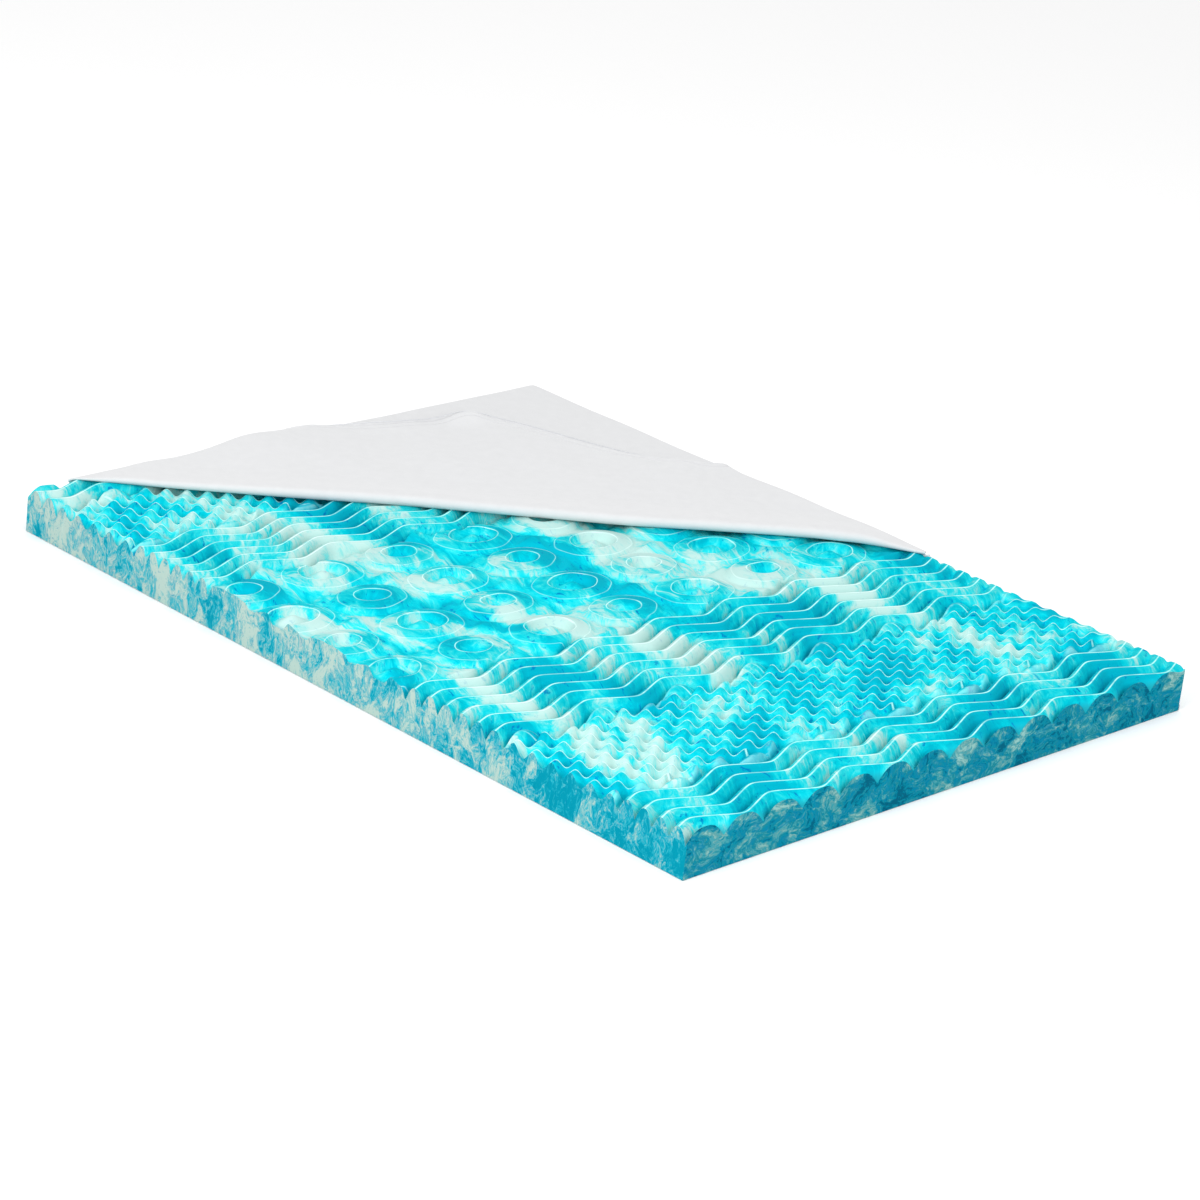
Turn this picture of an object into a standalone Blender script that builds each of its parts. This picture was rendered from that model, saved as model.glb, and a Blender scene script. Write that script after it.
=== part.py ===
# Zoned foam mattress topper with a zip cover turned back over its far corner.
# Metres, +Z up. X runs along the bed, Y across it; the far corner is at -X, +Y.
# The origin is on the resting face, under the middle of the foam.
import bpy
import bmesh
from math import asin, cos, exp, pi, sin
from mathutils import Vector
from mathutils.geometry import delaunay_2d_cdt

mm = 0.001

# The foam slab
topper_length = 2032 * mm
topper_width = 1524 * mm
foam_thickness = 101.6 * mm
cut_depth = 33 * mm  # crest to valley of the convoluted face

# The cut pattern, from the far short end; each zone's share of the length and its rows of cuts
zone_shares = (
    ("ribs", 0.048, 2),
    ("eggs", 0.136, 5),
    ("ribs", 0.122, 6),
    ("rings", 0.310, 4),
    ("ribs", 0.138, 6),
    ("eggs", 0.158, 5),
    ("ribs", 0.088, 4),
)
wave_count = 7  # waves of a rib across the width, and rows of rings
first_row_share = 0.21  # first row of rings above the near long side, of a wave
rib_swing = 19 * mm  # how far a rib swings to each side of its line
wave_sharpness = 0.95  # of a rib's zig-zag: near 0 it is a sine, at 1 it has sharp corners
egg_rows_per_wave = 4
ring_sides = 6
ring_crest_share = 0.42  # of the half cell: the crest of a raised ring, the well of a sunk one
ring_moat_share = 0.68
end_height_shares = (0.35, 0.80)  # of the cut depth, by turns where a short side crosses the rows

# The cloth cover
cloth = 1.5 * mm
gap = 0.3 * mm  # between sewn or resting pieces
roll_radius = 8 * mm  # the soft fold along the front of the turned-back top
settle_length = 80 * mm  # behind the fold, over which the upper layer sinks to the lower one
hump_height = 19 * mm
hump_length = 130 * mm
hump_place_share = 0.40  # along the far short edge, from the near side
ripple_height = 3 * mm
ripple_length = 260 * mm
ripple_slant = 0.6  # how much a ripple leans along the fold as it runs back
band_lean = 47 * mm  # of the short side band's front edge, from its top to its foot

# The fold line: its two ends on the slab's edges, and how far it bows towards the far corner
fold_left_share = 0.068  # of the width, up from the near corner, on the far short edge
fold_right_share = 0.645  # of the length, from the far short end, on the far long edge
fold_bow = 45 * mm
hinge_setback = 110 * mm  # the line where the loose flap lifts, behind the fold's ends
hinge_height = 14 * mm  # of the hinge line above the lower layer, over the cloth's top
end_trim = 18 * mm  # the fold and the flap start this far in from their pointed ends
fold_stations = 15
panel_rows = 3  # of each layer of the top panel, behind the fold
flap_stations = 18
flap_rows = 5
roll_steps = 6

# The flap's free edge, as shares of length and width from the far corner of the near side
free_edge_shares = (
    (0.000, 0.492),
    (0.050, 0.652),
    (0.064, 0.760),
    (0.104, 0.815),
    (0.186, 0.856),
    (0.250, 0.888),
    (0.292, 0.925),
    (0.331, 1.000),
)

# The zip
tape_width = 12 * mm
tape_thickness = 0.8 * mm
coil_width = 3 * mm
coil_thickness = 2 * mm
coil_split = 1.2 * mm  # between the two coils, where the slider's bridge passes
zip_closed_length = 620 * mm
zip_slider_share = 0.55  # of the length, where the slider is parked
stop_length = 8 * mm
slider_length = 13 * mm
slider_plate = 1.2 * mm
slider_bridge = 0.6 * mm
slider_flange = 1.2 * mm
running_gap = 0.4 * mm
lug_width = 1.2 * mm
pin_radius = 0.7 * mm
knuckle_radius = 1.9 * mm
knuckle_height = 4 * mm
tab_length = 28 * mm
tab_thickness = 1.2 * mm
round_sides = 16

# The blank care label
label_width = 30 * mm
label_height = 45 * mm
label_thickness = 0.5 * mm
label_place_share = 0.80  # of the width

# Worked out from the sizes above
half_length = topper_length / 2
half_width = topper_width / 2
wave_pitch = topper_width / wave_count
first_row = -half_width + first_row_share * wave_pitch
foam_bottom = cloth + gap
foam_top = foam_bottom + foam_thickness
panel_bottom = foam_top + gap
panel_top = panel_bottom + cloth
flap_bottom = panel_top + gap
flap_middle = flap_bottom + cloth / 2
band_out = gap + cloth  # outer face of the side bands, out from the foam
far_x = -half_length - band_out
far_y = half_width + band_out
tuck = tape_width + coil_width + 2 * gap

# Heights and planes of the zip on the far long side
slider_room = gap + slider_plate + running_gap  # between the foam and the back of the coils
tape_inner = half_width + slider_room + (coil_thickness - tape_thickness) / 2
tape_middle = tape_inner + tape_thickness / 2
lower_tape_low = foam_bottom
lower_coil_low = lower_tape_low + tape_width + gap
upper_coil_low = lower_coil_low + coil_width + coil_split
upper_tape_low = upper_coil_low + coil_width + gap
band_low = upper_tape_low + tape_width - coil_width
zip_middle = upper_coil_low - coil_split / 2
slider_x = -half_length + zip_slider_share * topper_length
stop_x = slider_x - zip_closed_length
fold_left = Vector((-half_length, -half_width + fold_left_share * topper_width))
fold_right = Vector((-half_length + fold_right_share * topper_length, half_width))
fold_direction = (fold_right - fold_left).normalized()
backward = Vector((-fold_direction.y, fold_direction.x))  # from the fold to the far corner
fold_length = (fold_right - fold_left).length

for old in list(bpy.data.objects):
    bpy.data.objects.remove(old, do_unlink=True)


def finish(name, colour, roughness, metallic=0.0):
    material = bpy.data.materials.new(name)
    material.use_nodes = True
    shader = material.node_tree.nodes["Principled BSDF"]
    shader.inputs["Base Color"].default_value = (*colour, 1)
    shader.inputs["Roughness"].default_value = roughness
    shader.inputs["Metallic"].default_value = metallic
    return material


gel_foam = finish("gel_foam", (0.10, 0.60, 0.80), 0.75)
knit_cloth = finish("knit_cloth", (0.86, 0.87, 0.88), 0.9)
zip_tape = finish("zip_tape", (0.82, 0.83, 0.84), 0.85)
zip_nylon = finish("zip_nylon", (0.78, 0.79, 0.80), 0.45)
zip_metal = finish("zip_metal", (0.70, 0.71, 0.73), 0.35, 0.9)
label_cloth = finish("label_cloth", (0.90, 0.90, 0.88), 0.8)


def place(name, mesh, material):
    thing = bpy.data.objects.new(name, mesh)
    bpy.context.collection.objects.link(thing)
    thing.data.materials.append(material)
    return thing


def axle(name, spot, parent=None):
    """An empty on a joint's axis, which carries the pieces that move with the joint."""
    pivot = bpy.data.objects.new(name, None)
    pivot.empty_display_size = tab_length
    bpy.context.collection.objects.link(pivot)
    pivot.location = spot
    bpy.context.view_layer.update()
    if parent:
        carry(parent, pivot)
    return pivot


def carry(pivot, *pieces):
    """Parents pieces to an empty and leaves them where they are."""
    bpy.context.view_layer.update()
    for piece in pieces:
        piece.parent = pivot
        piece.matrix_parent_inverse = pivot.matrix_world.inverted()


def mesh_of(name, corners, faces):
    mesh = bpy.data.meshes.new(name)
    mesh.from_pydata([tuple(corner) for corner in corners], [], faces)
    work = bmesh.new()
    work.from_mesh(mesh)
    bmesh.ops.recalc_face_normals(work, faces=work.faces)
    work.to_mesh(mesh)
    work.free()
    return mesh


def slab(name, outline, along, low, high, material):
    """A flat outline given a thickness; along names the axis that the thickness runs on."""
    spots = {"x": lambda p, t: (t, p[0], p[1]), "y": lambda p, t: (p[0], t, p[1]),
             "z": lambda p, t: (p[0], p[1], t)}[along]
    count = len(outline)
    corners = [spots(point, low) for point in outline] + [spots(point, high) for point in outline]
    faces = [tuple(range(count)), tuple(range(count, 2 * count))]
    for i in range(count):
        j = (i + 1) % count
        faces.append((i, j, count + j, count + i))
    return place(name, mesh_of(name, corners, faces), material)


def mitred(line, offset):
    """The line moved sideways by offset, to its left, with mitred corners."""
    points = [Vector(point) for point in line]
    moved = []
    for i, point in enumerate(points):
        before = (point - points[i - 1]).normalized() if i else None
        after = (points[i + 1] - point).normalized() if i < len(points) - 1 else None
        first, second = before or after, after or before
        left = Vector((-first.y - second.y, first.x + second.x)).normalized()
        side = Vector((-first.y, first.x))
        moved.append(point + left * (offset / left.dot(side)))
    return moved


def strip(line, inner, outer):
    """The outline of a ribbon beside a line, between two sideways offsets."""
    return mitred(line, inner) + mitred(line, outer)[::-1]


# The convoluted face
def wave(y):
    """A rounded zig-zag, +1 on the rows of rings and -1 between them."""
    return asin(wave_sharpness * cos(2 * pi * (y - first_row) / wave_pitch)) / asin(wave_sharpness)


def zones():
    """Each zone as its kind, start, end, rows and swing, which is towards the rings on their rows."""
    start = -half_length
    swing = rib_swing
    table = []
    for kind, share, rows in zone_shares:
        end = start + share * topper_length
        if kind == "rings":
            swing = -rib_swing
        table.append((kind, start, end, rows, swing))
        start = end
    return table


def foam_surface():
    """Feature points of the cut face, and the ridge and valley lines that join them."""
    points = []
    lines = []
    rows = [-half_width]
    rows += [first_row + k * wave_pitch / 2 for k in range(2 * wave_count)]
    rows = [y for y in rows if y < half_width] + [half_width]
    inside = half_length - rib_swing / 2

    def add(x, y, height):
        points.append((x, y, foam_top - cut_depth * (1 - height)))
        return len(points) - 1

    def rib_line(x, swing, height):
        """One zig-zag line across the bed, left out where it runs off the end."""
        last = None
        for y in rows:
            spot = x + swing * wave(y)
            new = add(spot, y, height) if abs(spot) < inside else None
            if last is not None and new is not None:
                lines.append((last, new))
            last = new

    for kind, start, end, count, swing in zones():
        step = (end - start) / count
        if kind == "ribs":
            for k in range(count):
                if start + k * step > -half_length + step / 2:
                    rib_line(start + k * step, swing, 0.0)
                rib_line(start + (k + 0.5) * step, swing, 1.0)
            if end < half_length - step / 2:
                rib_line(end, swing, 0.0)
        elif kind == "eggs":
            row_step = wave_pitch / egg_rows_per_wave
            row_total = egg_rows_per_wave * wave_count
            for i in range(1, count):
                for j in range(row_total + 1):
                    y = -half_width + j * row_step
                    spot = start + i * step + swing * wave(y) * (1 - i / count)
                    add(spot, min(y, half_width), float((i + j) % 2))
        else:
            for i in range(count):
                for j in range(wave_count):
                    x = start + (i + 0.5) * step
                    y = first_row + j * wave_pitch
                    raised = (i + j + 1) % 2
                    add(x, y, 1.0 - raised)
                    for share, height in ((ring_crest_share, raised), (ring_moat_share, 1 - raised)):
                        ring = []
                        for k in range(ring_sides):
                            turn = 2 * pi * (k + 0.5) / ring_sides
                            spot_y = y + share * wave_pitch / 2 * sin(turn)
                            if abs(spot_y) < half_width - gap:
                                spot_x = x + share * step / 2 * cos(turn)
                                ring.append(add(spot_x, spot_y, float(height)))
                        if len(ring) == ring_sides:
                            lines += [(ring[k - 1], ring[k]) for k in range(ring_sides)]
                    corner_y = y + wave_pitch / 2
                    if i and corner_y < half_width:
                        add(start + i * step, corner_y, float(raised))
                if i:
                    add(start + i * step, -half_width, float(i % 2))
                    add(start + i * step, half_width, float(i % 2))
    for end in (-half_length, half_length):
        for j, y in enumerate(rows):
            add(end, y, end_height_shares[j % 2])
    return points, lines


def close_below(work):
    """Four flat walls and a flat bottom under the cut face."""
    sides = ((-1, -1), (1, -1), (1, 1), (-1, 1))
    feet = [work.verts.new((x * half_length, y * half_width, foam_bottom)) for x, y in sides]
    rim = {vert for edge in work.edges if len(edge.link_faces) == 1 for vert in edge.verts}
    for k, foot in enumerate(feet):
        other = feet[(k + 1) % len(feet)]
        along = (other.co - foot.co).normalized()
        top = [vert for vert in rim if abs(along.cross(vert.co - foot.co).z) < gap]
        top.sort(key=lambda vert: along.dot(vert.co), reverse=True)
        work.faces.new([foot, other, *top])
    work.faces.new(feet[::-1])


def make_foam():
    points, lines = foam_surface()
    flat = [Vector((x, y)) for x, y, z in points]
    found = delaunay_2d_cdt(flat, lines, [], 0, gap)
    spots, faces, origins = found[0], found[2], found[3]
    corners = []
    for spot, origin in zip(spots, origins):
        height = points[origin[0]][2] if origin else foam_top - cut_depth / 2
        corners.append((spot.x, spot.y, height))
    mesh = bpy.data.meshes.new("foam_core")
    mesh.from_pydata(corners, [], faces)
    work = bmesh.new()
    work.from_mesh(mesh)
    close_below(work)
    bmesh.ops.recalc_face_normals(work, faces=work.faces)
    work.to_mesh(mesh)
    work.free()
    return place("foam_core", mesh, gel_foam)


# The turned-back top
def fold_point(share):
    bow = 4 * share * (1 - share) * fold_bow
    return fold_left + fold_direction * share * fold_length + backward * bow


def reach(point):
    """How far a line runs from a point, towards the far corner, before it leaves the cover."""
    side = (far_x - point.x) / backward.x
    end = (far_y - point.y) / backward.y
    return min(side, end)


def hinge_distance(point):
    """How far a point lies in front of the hinge line."""
    return hinge_setback - (point - fold_left).dot(backward)


def hump(point):
    centre = Vector((-half_length, -half_width + hump_place_share * topper_width))
    return hump_height * exp(-((point - centre).length / hump_length) ** 2)


def ripple(point):
    along = (point - fold_left).dot(fold_direction)
    back = (point - fold_left).dot(backward)
    return ripple_height * (1 + sin(2 * pi * (along + ripple_slant * back) / ripple_length)) / 2


def behind_fold(point):
    """How far a point lies behind the bowed fold."""
    share = (point - fold_left).dot(fold_direction) / fold_length
    return (point - fold_point(share)).dot(backward) - roll_radius


def upper_height(point, behind):
    """Middle of the upper layer's cloth, at a place and its distance behind the fold."""
    roll_top = panel_bottom + 2 * roll_radius - cloth / 2
    settled = flap_middle + ripple(point) * min(1, behind / settle_length)
    lift = (roll_top - flap_middle) * exp(-((behind / settle_length) ** 2))
    return settled + lift + hump(point) * min(1, behind / settle_length)


def sheet_object(name, stations, thickness, material):
    """A sheet from rows of points on its middle, thickened to both sides."""
    width = len(stations[0])
    corners = [point for row in stations for point in row]
    faces = []
    for i in range(len(stations) - 1):
        for j in range(width - 1):
            a = i * width + j
            faces.append((a, a + 1, a + width + 1, a + width))
    mesh = bpy.data.meshes.new(name)
    mesh.from_pydata([tuple(corner) for corner in corners], [], faces)
    thing = place(name, mesh, material)
    wall = thing.modifiers.new("thickness", "SOLIDIFY")
    wall.thickness = thickness
    wall.offset = 0
    return thing


def make_top_panel():
    """The lower layer, the rolled fold and the upper layer up to the hinge line, one cloth."""
    corner_along = (Vector((far_x, far_y)) - fold_left).dot(fold_direction) / fold_length
    shares = [end_trim / fold_length + k * (1 - 2 * end_trim / fold_length) / (fold_stations - 1)
              for k in range(fold_stations)]
    nearest = min(range(fold_stations), key=lambda k: abs(shares[k] - corner_along))
    shares[nearest] = corner_along
    middle = panel_bottom + cloth / 2
    rise = roll_radius - cloth / 2
    stations = []
    for share in shares:
        front = fold_point(share)
        centre = front + backward * roll_radius
        row = []
        far = reach(centre)
        for k in range(panel_rows, -1, -1):
            spot = centre + backward * far * k / panel_rows
            row.append((spot.x, spot.y, middle))
        for k in range(1, roll_steps):
            turn = pi * k / roll_steps
            spot = centre - backward * rise * sin(turn)
            row.append((spot.x, spot.y, middle + rise * (1 - cos(turn))))
        upper = min(far, hinge_distance(centre) - gap)
        for k in range(panel_rows + 1):
            spot = centre + backward * upper * k / panel_rows
            row.append((spot.x, spot.y, upper_height(spot, behind_fold(spot))))
        stations.append(row)
    return sheet_object("cover_top_panel", stations, cloth, knit_cloth)


def free_edge(extra):
    """The flap's free edge in plan, run on past both sides by extra, or cut short if it is negative."""
    edge = []
    for across, up in free_edge_shares:
        edge.append(Vector((-half_length + across * topper_length, -half_width + up * topper_width)))
    edge[0] += (edge[0] - edge[1]).normalized() * extra
    edge[-1] += (edge[-1] - edge[-2]).normalized() * extra
    return edge


def edge_distance(point):
    """How far behind a point on the hinge line the free edge lies, past any side of the cover."""
    best = reach(point)
    edge = free_edge(end_trim)
    for first, second in zip(edge, edge[1:]):
        span = second - first
        across = span.x * backward.y - span.y * backward.x
        offset = point - first
        share = (offset.x * backward.y - offset.y * backward.x) / across
        if 0 <= share <= 1:
            spot = first + span * share
            best = min(best, (spot - point).dot(backward))
    return best


def make_flap():
    """The loose part of the upper layer, from the hinge line to its free edge."""
    base = fold_left + backward * (hinge_setback + gap)
    low = (far_x - base.x) / fold_direction.x + end_trim
    high = (far_y - base.y) / fold_direction.y - end_trim
    places = [low + (high - low) * k / (flap_stations - 1) for k in range(flap_stations)]
    for corner in free_edge(0)[1:-1]:
        along = (corner - base).dot(fold_direction)
        nearest = min(range(1, flap_stations - 1), key=lambda k: abs(places[k] - along))
        places[nearest] = along
    stations = []
    for along in places:
        start = base + fold_direction * along
        far = edge_distance(start)
        row = []
        for j in range(flap_rows + 1):
            spot = start + backward * far * j / flap_rows
            row.append((spot.x, spot.y, upper_height(spot, behind_fold(spot))))
        stations.append(row)
    return sheet_object("cover_flap", stations, cloth, knit_cloth)


def edge_strip(name, inner, outer, thickness, material):
    """A ribbon beside the flap's free edge, which rises and falls with the cloth."""
    line = free_edge(-end_trim)
    stations = []
    for point, near, far in zip(line, mitred(line, inner), mitred(line, outer)):
        lift = upper_height(point, behind_fold(point)) - flap_middle
        middle = flap_bottom + thickness / 2 + lift
        stations.append([(near.x, near.y, middle), (far.x, far.y, middle)])
    return sheet_object(name, stations, thickness, material)


def make_cover():
    slab("cover_bottom_panel",
         [(far_x, -half_width + tuck), (half_length - tuck, -half_width + tuck),
          (half_length - tuck, tape_inner + tape_thickness + gap),
          (far_x, tape_inner + tape_thickness + gap)],
         "z", 0, cloth, knit_cloth)
    fold_end = fold_right.x - roll_radius
    slab("cover_side_band_long",
         [(far_x, foam_bottom), (stop_x - stop_length, foam_bottom), (stop_x - stop_length, band_low),
          (slider_x, band_low), (fold_end, foam_top), (far_x, foam_top)],
         "y", half_width + gap, far_y, knit_cloth)
    front = fold_left.y + roll_radius
    slab("cover_side_band_short",
         [(front + band_lean, foam_bottom), (half_width, foam_bottom),
          (half_width, foam_top), (front, foam_top)],
         "x", far_x, -half_length - gap, knit_cloth)
    label_y = -half_width + label_place_share * topper_width
    slab("care_label",
         [(label_y, foam_bottom), (label_y + label_width, foam_bottom),
          (label_y + label_width, foam_bottom + label_height), (label_y, foam_bottom + label_height)],
         "x", far_x - gap - label_thickness, far_x - gap, label_cloth)


# The zip
def make_zip():
    """Its lower half runs on the far long side, then tucked flat under the near sides."""
    slab("zip_tape_lower",
         [(stop_x, lower_tape_low), (half_length, lower_tape_low),
          (half_length, lower_tape_low + tape_width), (stop_x, lower_tape_low + tape_width)],
         "y", tape_inner, tape_inner + tape_thickness, zip_tape)
    coil_inner = tape_middle - coil_thickness / 2
    slab("zip_coil_lower",
         [(stop_x, lower_coil_low), (half_length, lower_coil_low),
          (half_length, lower_coil_low + coil_width), (stop_x, lower_coil_low + coil_width)],
         "y", coil_inner, coil_inner + coil_thickness, zip_nylon)
    fold_end = fold_right.x - roll_radius
    climb = [(stop_x, upper_coil_low), (slider_x + gap, upper_coil_low),
             (fold_end, foam_top - band_low + upper_coil_low)]
    slab("zip_coil_band", strip(climb, 0, coil_width), "y",
         coil_inner, coil_inner + coil_thickness, zip_nylon)
    slab("zip_tape_band", strip(climb, coil_width + gap, coil_width + gap + tape_width), "y",
         tape_inner, tape_inner + tape_thickness, zip_tape)
    near = [(-half_length, -half_width), (half_length, -half_width), (half_length, half_width)]
    slab("zip_tape_tucked", strip(near, coil_width + gap, coil_width + gap + tape_width), "z",
         gap, gap + tape_thickness, zip_tape)
    slab("zip_coil_tucked", strip(near, 0, coil_width), "z", gap, cloth, zip_nylon)
    coil_start = 2 * gap + tape_width
    flap_tape = edge_strip("zip_tape_flap", gap, gap + tape_width, tape_thickness, zip_tape)
    flap_coil = edge_strip("zip_coil_flap", coil_start, coil_start + coil_width, coil_thickness, zip_nylon)
    low = lower_coil_low
    high = upper_coil_low + coil_width
    slab("zip_end_stop",
         [(stop_x - gap - stop_length / 2, low), (stop_x - gap, low),
          (stop_x - gap, high), (stop_x - gap - stop_length / 2, high)],
         "y", coil_inner, coil_inner + coil_thickness, zip_metal)
    return flap_tape, flap_coil


def union(target, tool):
    """Joins a tool into a target with an exact union, and leaves one closed body."""
    joiner = target.modifiers.new("join", "BOOLEAN")
    joiner.operation = "UNION"
    joiner.solver = "EXACT"
    joiner.object = tool
    tool.hide_render = True
    tool.display_type = "WIRE"


def drum(name, centre, radius, height):
    """A round bar that stands along Z."""
    outline = []
    for k in range(round_sides):
        turn = 2 * pi * (k + 0.5) / round_sides
        outline.append((centre[0] + radius * cos(turn), centre[1] + radius * sin(turn)))
    return slab(name, outline, "z", centre[2] - height / 2, centre[2] + height / 2, zip_metal)


def make_slider():
    """Two plates joined by a bridge between the coils, with flanges and a lug for the pull."""
    back = tape_middle - coil_thickness / 2 - running_gap
    front = tape_middle + coil_thickness / 2 + running_gap
    low = lower_coil_low - running_gap - slider_flange
    high = upper_coil_low + coil_width + running_gap + slider_flange
    slit = tape_thickness / 2 + running_gap
    left = slider_x - slider_length
    bridge = slider_bridge / 2
    profile = [
        (back - slider_plate, low), (tape_middle - slit, low), (tape_middle - slit, low + slider_flange),
        (back, low + slider_flange), (back, zip_middle - bridge), (front, zip_middle - bridge),
        (front, low + slider_flange), (tape_middle + slit, low + slider_flange),
        (tape_middle + slit, low), (front + slider_plate, low), (front + slider_plate, high),
        (tape_middle + slit, high), (tape_middle + slit, high - slider_flange),
        (front, high - slider_flange), (front, zip_middle + bridge), (back, zip_middle + bridge),
        (back, high - slider_flange), (tape_middle - slit, high - slider_flange),
        (tape_middle - slit, high), (back - slider_plate, high),
    ]
    slider = slab("zip_slider", profile, "x", left, slider_x, zip_metal)
    face = front + slider_plate
    pin_y = face + knuckle_radius + running_gap
    pin_x = slider_x - slider_length / 2
    lug_far = pin_y + pin_radius + running_gap
    overlap = slider_plate / 2
    span = knuckle_height / 2 + running_gap
    for side in (-1, 1):
        near_z = zip_middle + side * span
        far_z = zip_middle + side * (span + lug_width)
        outline = [(pin_x - knuckle_radius, near_z), (pin_x + knuckle_radius, near_z),
                   (pin_x + knuckle_radius, far_z), (pin_x - knuckle_radius, far_z)]
        lug = slab("lug_tool", outline, "y", face - overlap, lug_far, zip_metal)
        union(slider, lug)
    pin = drum("pin_tool", (pin_x, pin_y, zip_middle), pin_radius, 2 * span + lug_width)
    union(slider, pin)
    return slider, pin_x, pin_y


def make_pull(pin_x, pin_y):
    """A plain pull tab whose knuckle turns on the slider's pin."""
    tab = drum("zip_pull_tab", (pin_x, pin_y, zip_middle), knuckle_radius, knuckle_height)
    half = tab_thickness / 2
    reach_x = pin_x - tab_length
    chamfer = knuckle_height / 4
    outline = [
        (pin_x - pin_radius - running_gap, zip_middle - knuckle_height / 2),
        (pin_x - pin_radius - running_gap, zip_middle + knuckle_height / 2),
        (reach_x + chamfer, zip_middle + knuckle_height / 2), (reach_x, zip_middle + chamfer),
        (reach_x, zip_middle - chamfer), (reach_x + chamfer, zip_middle - knuckle_height / 2),
    ]
    plate = slab("plate_tool", outline, "y", pin_y - half, pin_y + half, zip_metal)
    union(tab, plate)
    bore = drum("bore_tool", (pin_x, pin_y, zip_middle), pin_radius + running_gap, 2 * knuckle_height)
    bore.hide_render = True
    bore.display_type = "WIRE"
    cut = tab.modifiers.new("bore", "BOOLEAN")
    cut.operation = "DIFFERENCE"
    cut.solver = "EXACT"
    cut.object = bore
    return tab


make_foam()
make_top_panel()
make_cover()
flap = make_flap()
hinge_middle = fold_left + backward * hinge_setback + fold_direction * fold_length / 2
flap_hinge = axle("flap_hinge", (*hinge_middle, panel_top + hinge_height))
carry(flap_hinge, flap, *make_zip())
slider_body, pin_x, pin_y = make_slider()
slider_run = axle("slider_run", (slider_x, tape_middle, zip_middle))
carry(slider_run, slider_body)
pull_pin = axle("pull_pin", (pin_x, pin_y, zip_middle), slider_run)
carry(pull_pin, make_pull(pin_x, pin_y))
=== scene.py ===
from math import radians
import bpy
import numpy as np
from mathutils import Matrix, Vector


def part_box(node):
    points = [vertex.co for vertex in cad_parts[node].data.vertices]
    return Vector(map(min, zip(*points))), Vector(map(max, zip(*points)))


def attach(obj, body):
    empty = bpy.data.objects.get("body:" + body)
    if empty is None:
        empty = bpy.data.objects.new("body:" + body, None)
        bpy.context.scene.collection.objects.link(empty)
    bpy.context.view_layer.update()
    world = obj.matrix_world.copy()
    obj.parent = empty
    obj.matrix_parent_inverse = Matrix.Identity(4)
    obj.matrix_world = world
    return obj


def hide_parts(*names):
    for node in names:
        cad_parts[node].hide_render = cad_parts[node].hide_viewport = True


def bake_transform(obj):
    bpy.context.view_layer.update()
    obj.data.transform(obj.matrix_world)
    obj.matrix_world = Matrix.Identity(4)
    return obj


mm = 0.001
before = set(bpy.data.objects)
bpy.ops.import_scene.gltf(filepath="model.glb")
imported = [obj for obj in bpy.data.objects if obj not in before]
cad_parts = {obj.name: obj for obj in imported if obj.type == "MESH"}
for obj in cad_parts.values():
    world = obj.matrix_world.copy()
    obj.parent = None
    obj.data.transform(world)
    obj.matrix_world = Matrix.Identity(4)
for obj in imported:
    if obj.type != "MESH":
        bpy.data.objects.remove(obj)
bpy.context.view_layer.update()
print("frame loaded")

# Camera, at the photograph's angle
view = {
    "place": (5.2264, -5.5803, 3.0659),
    "turn": (68.3275, -6.1021, 45.468),  # degrees
    "lens": 114.0,
    "sensor": 36.0,
}
cameraData = bpy.data.cameras.new("photoCamera")
cameraData.lens = view["lens"]
cameraData.sensor_width = view["sensor"]
camera = bpy.data.objects.new("photoCamera", cameraData)
camera.location = view["place"]
camera.rotation_euler = [radians(angle) for angle in view["turn"]]
bpy.context.scene.collection.objects.link(camera)
bpy.context.scene.camera = camera
bpy.context.scene.view_settings.view_transform = "Standard"


# Helpers for node materials
def newMaterial(name, roughness, sheen=0.0, gloss=0.2):
    material = bpy.data.materials.new(name)
    material.use_nodes = True
    shader = material.node_tree.nodes["Principled BSDF"]
    shader.inputs["Roughness"].default_value = roughness
    shader.inputs["Sheen Weight"].default_value = sheen
    shader.inputs["Specular IOR Level"].default_value = gloss
    return material, material.node_tree, shader


def addNode(tree, kind, inputs, **settings):
    node = tree.nodes.new(kind)
    for name, value in settings.items():
        setattr(node, name, value)
    for name, value in inputs.items():
        if isinstance(value, bpy.types.NodeSocket):
            tree.links.new(value, node.inputs[name])
        else:
            node.inputs[name].default_value = value
    return node


def maths(tree, operation, *values):
    return addNode(tree, "ShaderNodeMath", dict(enumerate(values)), operation=operation).outputs[0]


def spread(tree, value, low, high, newLow=0.0, newHigh=1.0):
    inputs = {"Value": value, "From Min": low, "From Max": high, "To Min": newLow, "To Max": newHigh}
    return addNode(tree, "ShaderNodeMapRange", inputs, interpolation_type="SMOOTHSTEP").outputs["Result"]


def noise(tree, vector, scale, detail, roughness=0.5, distortion=0.0):
    inputs = {"Vector": vector, "Scale": scale, "Detail": detail, "Roughness": roughness,
              "Distortion": distortion}
    return addNode(tree, "ShaderNodeTexNoise", inputs).outputs


def mixColour(tree, amount, first, second, blend="MIX"):
    inputs = {0: amount}
    for index, colour in ((6, first), (7, second)):
        inputs[index] = colour if isinstance(colour, bpy.types.NodeSocket) else (*colour, 1)
    return addNode(tree, "ShaderNodeMix", inputs, data_type="RGBA", blend_type=blend).outputs[2]


def ramp(tree, value, stops):
    node = addNode(tree, "ShaderNodeValToRGB", {"Fac": value})
    elements = node.color_ramp.elements
    while len(elements) < len(stops):
        elements.new(1.0)
    for element, (place, colour) in zip(elements, stops):
        element.position = place
        element.color = (*colour, 1)
    return node.outputs["Color"]


def attribute(tree, name):
    return addNode(tree, "ShaderNodeAttribute", {}, attribute_name=name).outputs["Fac"]


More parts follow.
